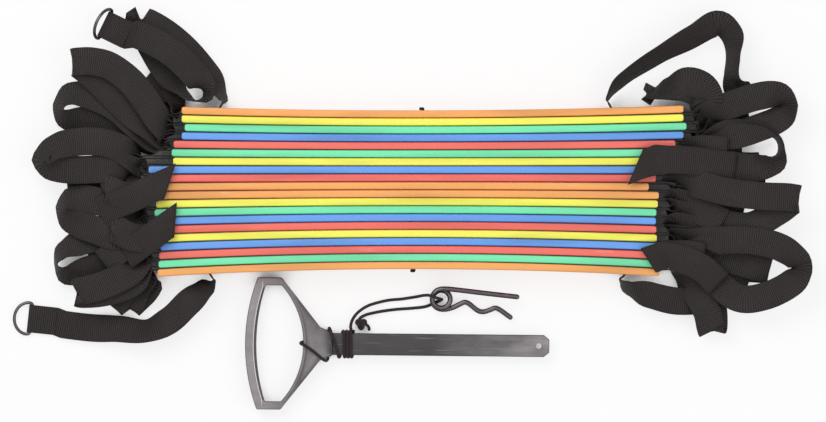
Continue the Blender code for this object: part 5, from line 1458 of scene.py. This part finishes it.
def grained_abs(name, grip_highlight_hex, handle_hex, bar_shade_hex, rubbed_hex, bead_highlight_hex):
    """Grained plastic whose colour changes from the grip along the handle to the bar and its tip."""
    made, tree = start_material(name)
    place = add(tree, "ShaderNodeTexCoord").outputs["Object"]
    in_holder = add(tree, "ShaderNodeMapping", {"vector_type": "TEXTURE"}, Vector=place,
                    Location=tuple(holder_place(0, 0)), Rotation=(0, 0, HOLDER_TURN))
    parts = add(tree, "ShaderNodeSeparateXYZ", Vector=in_holder)
    reach, height = parts.outputs["X"], parts.outputs["Z"]
    drawn = add(tree, "ShaderNodeMapping", Vector=in_holder, Scale=(SCRATCH_STRETCH, 1.0, 1.0))
    lines = add(tree, "ShaderNodeTexNoise", Vector=drawn, Scale=SCRATCHES_PER_METRE, Detail=3.0)
    streak = add(tree, "ShaderNodeMapping", Vector=in_holder, Scale=(CLOUD_STRETCH, 1.0, 1.0))
    patches = add(tree, "ShaderNodeTexNoise", Vector=streak, Scale=CLOUDS_PER_METRE, Detail=4.0,
                  Roughness=0.6)
    cloud = add(tree, "ShaderNodeMapRange", Value=patches, From_Min=CLOUD_SHARES[0],
                From_Max=CLOUD_SHARES[1])

    # Grip painted lighter as a painted highlight, then the handle, and the bar painted darker as painted
    # shade
    from_grip = add(tree, "ShaderNodeMapRange", SMOOTH, Value=reach, From_Min=GRIP_HIGHLIGHT_FROM,
                    From_Max=GRIP_HIGHLIGHT_TO)
    handle = add(tree, "ShaderNodeMix", COLOURS, Factor=from_grip, A=linear(grip_highlight_hex), B=linear(handle_hex))
    on_bar = add(tree, "ShaderNodeMapRange", SMOOTH, Value=reach, From_Min=HANDLE_DEPTH - NECK_LENGTH,
                 From_Max=HANDLE_DEPTH)
    plain = add(tree, "ShaderNodeMix", COLOURS, Factor=on_bar, A=handle, B=linear(bar_shade_hex))
    shade = add(tree, "ShaderNodeMapRange", Value=cloud, To_Min=CLOUD_SHADES[0], To_Max=CLOUD_SHADES[1])
    clouded = add(tree, "ShaderNodeMix", TINTED, Factor=1.0, A=plain,
                  B=add(tree, "ShaderNodeCombineXYZ", X=shade, Y=shade, Z=shade))

    # Rubbed tip, scratches, painted highlight on the bead and painted shade on the rims
    tip = add(tree, "ShaderNodeMapRange", Value=reach, From_Min=RUBBED_FROM,
              From_Max=HANDLE_DEPTH + BAR_LENGTH)
    uneven = add(tree, "ShaderNodeMapRange", Value=cloud, To_Min=RUBBED_SHARES[0], To_Max=RUBBED_SHARES[1])
    rubbed = add(tree, "ShaderNodeMath", TIMES, _0=tip, _1=uneven)
    toned = add(tree, "ShaderNodeMix", COLOURS, Factor=rubbed, A=clouded, B=linear(rubbed_hex))
    marks = add(tree, "ShaderNodeMapRange", Value=lines, From_Min=SCRATCH_SHARES[0],
                From_Max=SCRATCH_SHARES[1], To_Max=SCRATCH_STRENGTH)
    scratch = add(tree, "ShaderNodeMath", TIMES, _0=marks, _1=on_bar)
    scratched = add(tree, "ShaderNodeMix", COLOURS, Factor=scratch, A=toned, B=linear(rubbed_hex))
    # The top of the bead is painted pale: a painted highlight.
    painted_bead_highlight_mask = add(tree, "ShaderNodeMapRange", Value=height, From_Min=HANDLE_THICKNESS + BEAD_DIAMETER / 24,
                  From_Max=HANDLE_THICKNESS + BEAD_DIAMETER / 6)
    with_painted_bead_highlight = add(tree, "ShaderNodeMix", COLOURS, Factor=painted_bead_highlight_mask, A=scratched, B=linear(bead_highlight_hex))
    # Faces that turn sideways are painted darker: painted shade.
    facing = add(tree, "ShaderNodeSeparateXYZ", Vector=add(tree, "ShaderNodeNewGeometry").outputs["Normal"])
    rim = add(tree, "ShaderNodeMapRange", Value=facing.outputs["Z"], From_Min=RIM_FACING[0],
              From_Max=RIM_FACING[1], To_Min=RIM_PAINTED_SHADE)
    colour = add(tree, "ShaderNodeMix", TINTED, Factor=1.0, A=with_painted_bead_highlight,
                 B=add(tree, "ShaderNodeCombineXYZ", X=rim, Y=rim, Z=rim))

    gloss = add(tree, "ShaderNodeMapRange", Value=cloud, To_Min=CLOUD_ROUGHNESSES[0],
                To_Max=CLOUD_ROUGHNESSES[1])
    grain = add(tree, "ShaderNodeTexNoise", Vector=place, Scale=SPARK_GRAINS_PER_METRE, Detail=2.0)
    relief = add(tree, "ShaderNodeBump", Strength=0.2, Distance=SPARK_GRAIN_DEPTH, Height=grain)
    shader = add(tree, "ShaderNodeBsdfPrincipled", Base_Color=colour, Roughness=gloss, IOR=ABS_IOR,
                 Normal=relief)
    add(tree, "ShaderNodeOutputMaterial", Surface=shader)
    return made


# The grip colour is a painted highlight, the bar colour painted shade and the bead colour a painted
# highlight.
holder_finish = grained_abs("grained_abs_dark_grey", "#918b8e", "#7a7477", "#3b383a", "#989395", "#d4cfd1")
print("holder finish reaches", round(HANDLE_DEPTH + BAR_LENGTH, 3), "m, from grip to tip")

# %% [markdown]
# ## Outlines
# Three small tools draw on a flat sheet: an arc through three points, corners that are eased by a soft
# curve, and an outline set in from another by an even distance.

# %% Outline helpers
CORNER_TURN = math.radians(15)
CORNER_STEPS = 5
CORNER_SHARE = 0.45
LEAST_LEAN = 0.5


def arc_through(start, middle, end, count):
    """An arc from start to end, with its middle at a given place."""
    chord = (end - start).length
    sagitta = (middle - (start + end) / 2).length
    radius = (chord * chord / 4 + sagitta * sagitta) / (2 * sagitta)
    inward = ((start + end) / 2 - middle).normalized()
    centre = middle + inward * radius
    half = math.asin(chord / 2 / radius)
    across = (end - start).normalized()
    return [centre - inward * radius * math.cos(half * s) + across * radius * math.sin(half * s)
            for s in (2 * i / count - 1 for i in range(count + 1))]


def eased(outline, radius):
    """Round the corners of an outline that turn by more than a little."""
    result = []
    count = len(outline)
    for i, point in enumerate(outline):
        before, after = outline[i - 1], outline[(i + 1) % count]
        back, on = (before - point), (after - point)
        turn = math.pi - back.angle(on)
        if turn < CORNER_TURN:
            result.append(point)
            continue
        reach = min(radius * math.tan(turn / 2), back.length * CORNER_SHARE, on.length * CORNER_SHARE)
        a, b = point + back.normalized() * reach, point + on.normalized() * reach
        result.extend(a * (1 - t) ** 2 + point * 2 * t * (1 - t) + b * t ** 2
                      for t in (k / CORNER_STEPS for k in range(CORNER_STEPS + 1)))
    return result


def inset(outline, distance):
    """Every point moved inwards, square to the outline."""
    moved = []
    count = len(outline)
    for i, point in enumerate(outline):
        before = (point - outline[i - 1]).normalized()
        after = (outline[(i + 1) % count] - point).normalized()
        inward = Vector((-before.y - after.y, before.x + after.x)).normalized()
        lean = max(LEAST_LEAN, inward.dot(Vector((-before.y, before.x))))
        moved.append(point + inward * distance / lean)
    return moved


print("corners are eased in", CORNER_STEPS, "steps")

# %% [markdown]
# ## The holder's outlines
# The outline of the D-handle is a long bow, two corners, two straight flanks and a neck. The grip is
# bevelled towards the hand hole, with a bead along the top of the bevel. The throat is sunk on both sides,
# so that the walls stay even, as a moulder would want.

# %% Holder outlines
HANDLE_LENGTH = 0.1190
HANDLE_END_WIDTH = 0.0216
HANDLE_BOW = 0.0108
GRIP_WALL = 0.0100
HANDLE_END_WALL = 0.0072
THROAT_WIDTH = 0.0300
HAND_HOLE_BELLY = 0.0200
POCKET_DEPTH = 0.0030
POCKET_WALL = 0.0024
HANDLE_CHAMFER = 0.0012
BAR_TIP_CUT = 0.0050
BAR_TIP_CUT_ACROSS = 0.0040
BAR_CHAMFER = 0.0008
BAR_RIM = 0.0013
GRIP_BEVEL = 0.0026
BEVEL_REACH = 0.965
POCKET_RIM = 0.0010
POCKET_FLOOR = 0.0072
CLIP_HOLE_DIAMETER = 0.0052
CLIP_HOLE_FROM_TIP = 0.0095
NECK_LIP = 0.0004
BOW_STEPS = 48


def handle_outline():
    half = HANDLE_LENGTH / 2
    bow = arc_through(Vector((HANDLE_BOW, half)), Vector((0, 0)), Vector((HANDLE_BOW, -half)), BOW_STEPS)
    neck = BAR_WIDTH / 2 + NECK_LIP
    lower = [Vector((HANDLE_BOW + HANDLE_END_WIDTH, -half)),
             Vector((HANDLE_DEPTH - NECK_LENGTH, -THROAT_WIDTH / 2)), Vector((HANDLE_DEPTH, -neck))]
    return bow + lower + [Vector((point.x, -point.y)) for point in reversed(lower)]


def hole_outline(grow=0.0):
    half = HANDLE_LENGTH / 2 - HANDLE_END_WALL + grow
    near = HANDLE_BOW + HANDLE_END_WALL - grow
    far = HANDLE_BOW + HANDLE_END_WIDTH + grow / 2
    grip = arc_through(Vector((near, half)), Vector((GRIP_WALL - grow, 0)), Vector((near, -half)), BOW_STEPS)
    belly = arc_through(Vector((far, -half)), Vector((far + HAND_HOLE_BELLY + grow / 2, 0)),
                        Vector((far, half)), BOW_STEPS)
    return grip + belly


def grip_bevel_outline(depth):
    """The grip side of the hand hole moved out, closed by a line inside the hole."""
    grip = [Vector((point.x - depth, point.y * BEVEL_REACH)) for point in hole_outline()[:BOW_STEPS + 1]]
    inside = Vector((depth + GRIP_WALL, 0))
    return grip + [grip[-1] + inside, grip[0] + inside]


def bead_line():
    """Along the top of the grip's bevel, and across both corners."""
    ridge = [point.to_3d() for point in grip_bevel_outline(GRIP_BEVEL)[:BOW_STEPS + 1]]
    reach = HANDLE_LENGTH / 2 - HANDLE_CHAMFER
    ends = [Vector((ridge[i].x, reach if ridge[i].y > 0 else -reach, 0)) for i in (0, -1)]
    line = [ends[0], *ridge, ends[1]]
    return [point + Vector((0, 0, HANDLE_THICKNESS - BEAD_DIAMETER / 6)) for point in line]


def throat_outline(distance):
    outer = inset(handle_outline(), distance)
    left = HANDLE_BOW + HANDLE_END_WIDTH + distance
    return [Vector((max(point.x, left), point.y)) for point in outer[:1] + outer[BOW_STEPS:]]


def bar_outline():
    half = BAR_WIDTH / 2
    start, tip = HANDLE_DEPTH - NECK_LENGTH, HANDLE_DEPTH + BAR_LENGTH
    cut_y = half - BAR_TIP_CUT_ACROSS
    return [Vector(pair) for pair in ((start, -half), (tip - BAR_TIP_CUT, -half), (tip, -cut_y),
                                      (tip, cut_y), (tip - BAR_TIP_CUT, half), (start, half))]


print("handle outline", len(handle_outline()), "points")

# %% [markdown]
# ## From outlines to solids
# Every rim is rounded with a few layers of inset outline, and the hand hole and the clip's hole flare at
# both faces in the same way. A pocket or a bevel is one outline at the face and another at its depth, so
# its wall is sloped. The pieces are then joined and cut by Booleans.

# %% Solids from outlines
ROUND_STEPS = 4
CUT_OVERRUN = 0.0020
SIDES_OF_HANDLE = ((HANDLE_THICKNESS, -1), (0, 1))


def skin(layers):
    """A closed shape from outlines stacked at heights, low to high."""
    builder = bmesh.new()
    rows = [[builder.verts.new((point.x, point.y, height)) for point in outline]
            for outline, height in layers]
    for near, far in zip(rows, rows[1:]):
        for i in range(len(near)):
            j = (i + 1) % len(near)
            builder.faces.new((near[i], near[j], far[j], far[i]))
    builder.faces.new(rows[0][::-1])
    builder.faces.new(rows[-1])
    bmesh.ops.recalc_face_normals(builder, faces=builder.faces[:])
    mesh = bpy.data.meshes.new("shape")
    builder.to_mesh(mesh)
    builder.free()
    shape = bpy.data.objects.new("shape", mesh)
    bpy.context.scene.collection.objects.link(shape)
    return shape


def rounded_slab(outline, low, high, radius):
    """Stand an outline up with both rims rounded; a negative radius flares it instead."""
    size = abs(radius)
    layers = []
    for i in range(ROUND_STEPS + 1):
        angle = math.pi / 2 * i / ROUND_STEPS
        layers.append((inset(outline, radius * (1 - math.sin(angle))), low + size * (1 - math.cos(angle))))
    tops = [(line, low + high - height) for line, height in reversed(layers)]
    if radius < 0:
        wide = inset(outline, radius)
        return skin([(wide, low - CUT_OVERRUN), *layers, *tops, (wide, high + CUT_OVERRUN)])
    return skin(layers + tops)


def sunk(deep, wide, depth, face, into):
    """A cutter for a hollow that is wide at a face and ends as another outline at its depth."""
    layers = [(deep, face + into * depth), (wide, face), (wide, face - into * CUT_OVERRUN)]
    return skin(layers[::-into])


def combined(thing, others):
    """Apply a row of Booleans and drop the shapes that made them."""
    for other, operation in others:
        step = thing.modifiers.new("step", "BOOLEAN")
        step.object = other
        step.operation = operation
        step.solver = "EXACT"
    bpy.context.view_layer.update()
    result = bpy.data.meshes.new_from_object(thing.evaluated_get(bpy.context.evaluated_depsgraph_get()))
    for other, _ in others:
        bpy.data.objects.remove(other, do_unlink=True)
    thing.modifiers.clear()
    thing.data = result
    return thing


print("rims are rounded in", ROUND_STEPS, "steps")

# %% [markdown]
# ## Assembling the moulding
# The handle gets its two sunk throats, each kept clear of the hole's rib. Then the bar is fused on, the
# hand hole and the clip's hole are cut through, the grip is bevelled on both faces and its bead is fused
# on. The whole is turned into its place on the table.

# %% The holder
HOLE_CORNER = 0.004
HANDLE_CORNER = 0.003
BEAD_SIDES = 8
BORE_SIDES = 32
HOLDER_SHARP_ANGLE = 32

middle = HANDLE_THICKNESS / 2
low = middle - BAR_THICKNESS / 2
hand_hole = eased(hole_outline(), HOLE_CORNER)
handle = rounded_slab(eased(handle_outline(), HANDLE_CORNER), 0, HANDLE_THICKNESS, HANDLE_CHAMFER)
pockets = []
for face, into in SIDES_OF_HANDLE:
    pocket = sunk(throat_outline(POCKET_FLOOR), throat_outline(POCKET_RIM), POCKET_DEPTH, face, into)
    keep = skin([(hole_outline(POCKET_WALL), -2 * CUT_OVERRUN),
                 (hole_outline(POCKET_WALL), HANDLE_THICKNESS + 2 * CUT_OVERRUN)])
    pockets.append((combined(pocket, [(keep, "DIFFERENCE")]), "DIFFERENCE"))
bevels = [(sunk(grip_bevel_outline(0), grip_bevel_outline(GRIP_BEVEL), GRIP_BEVEL, face, into), "DIFFERENCE")
          for face, into in SIDES_OF_HANDLE]
bead = bpy.data.objects.new("bead", tube("bead", bead_line(), BEAD_DIAMETER, BEAD_SIDES))
bpy.context.scene.collection.objects.link(bead)
bar = rounded_slab(bar_outline(), low, low + BAR_THICKNESS, BAR_RIM)
opening = rounded_slab(hand_hole, 0, HANDLE_THICKNESS, -HANDLE_CHAMFER)
bore_place = Vector((HANDLE_DEPTH + BAR_LENGTH - CLIP_HOLE_FROM_TIP, 0))
bore_line = [bore_place + Vector((math.cos(a), math.sin(a))) * CLIP_HOLE_DIAMETER / 2
             for a in (2 * math.pi * k / BORE_SIDES for k in range(BORE_SIDES))]
bore = rounded_slab(bore_line, low, low + BAR_THICKNESS, -BAR_CHAMFER / 2)
handle = combined(handle, [*pockets, (bar, "UNION"), (opening, "DIFFERENCE"), (bore, "DIFFERENCE"), *bevels,
                           (bead, "UNION")])
for vertex in handle.data.vertices:
    vertex.co = holder_place(*vertex.co)
mesh = handle.data
bpy.data.objects.remove(handle, do_unlink=True)
keep_piece("moulded_holder", mesh, holder_finish, "holder", ("holder_handle",),
           HOLDER_SHARP_ANGLE)
print("holder", len(mesh.polygons), "faces")
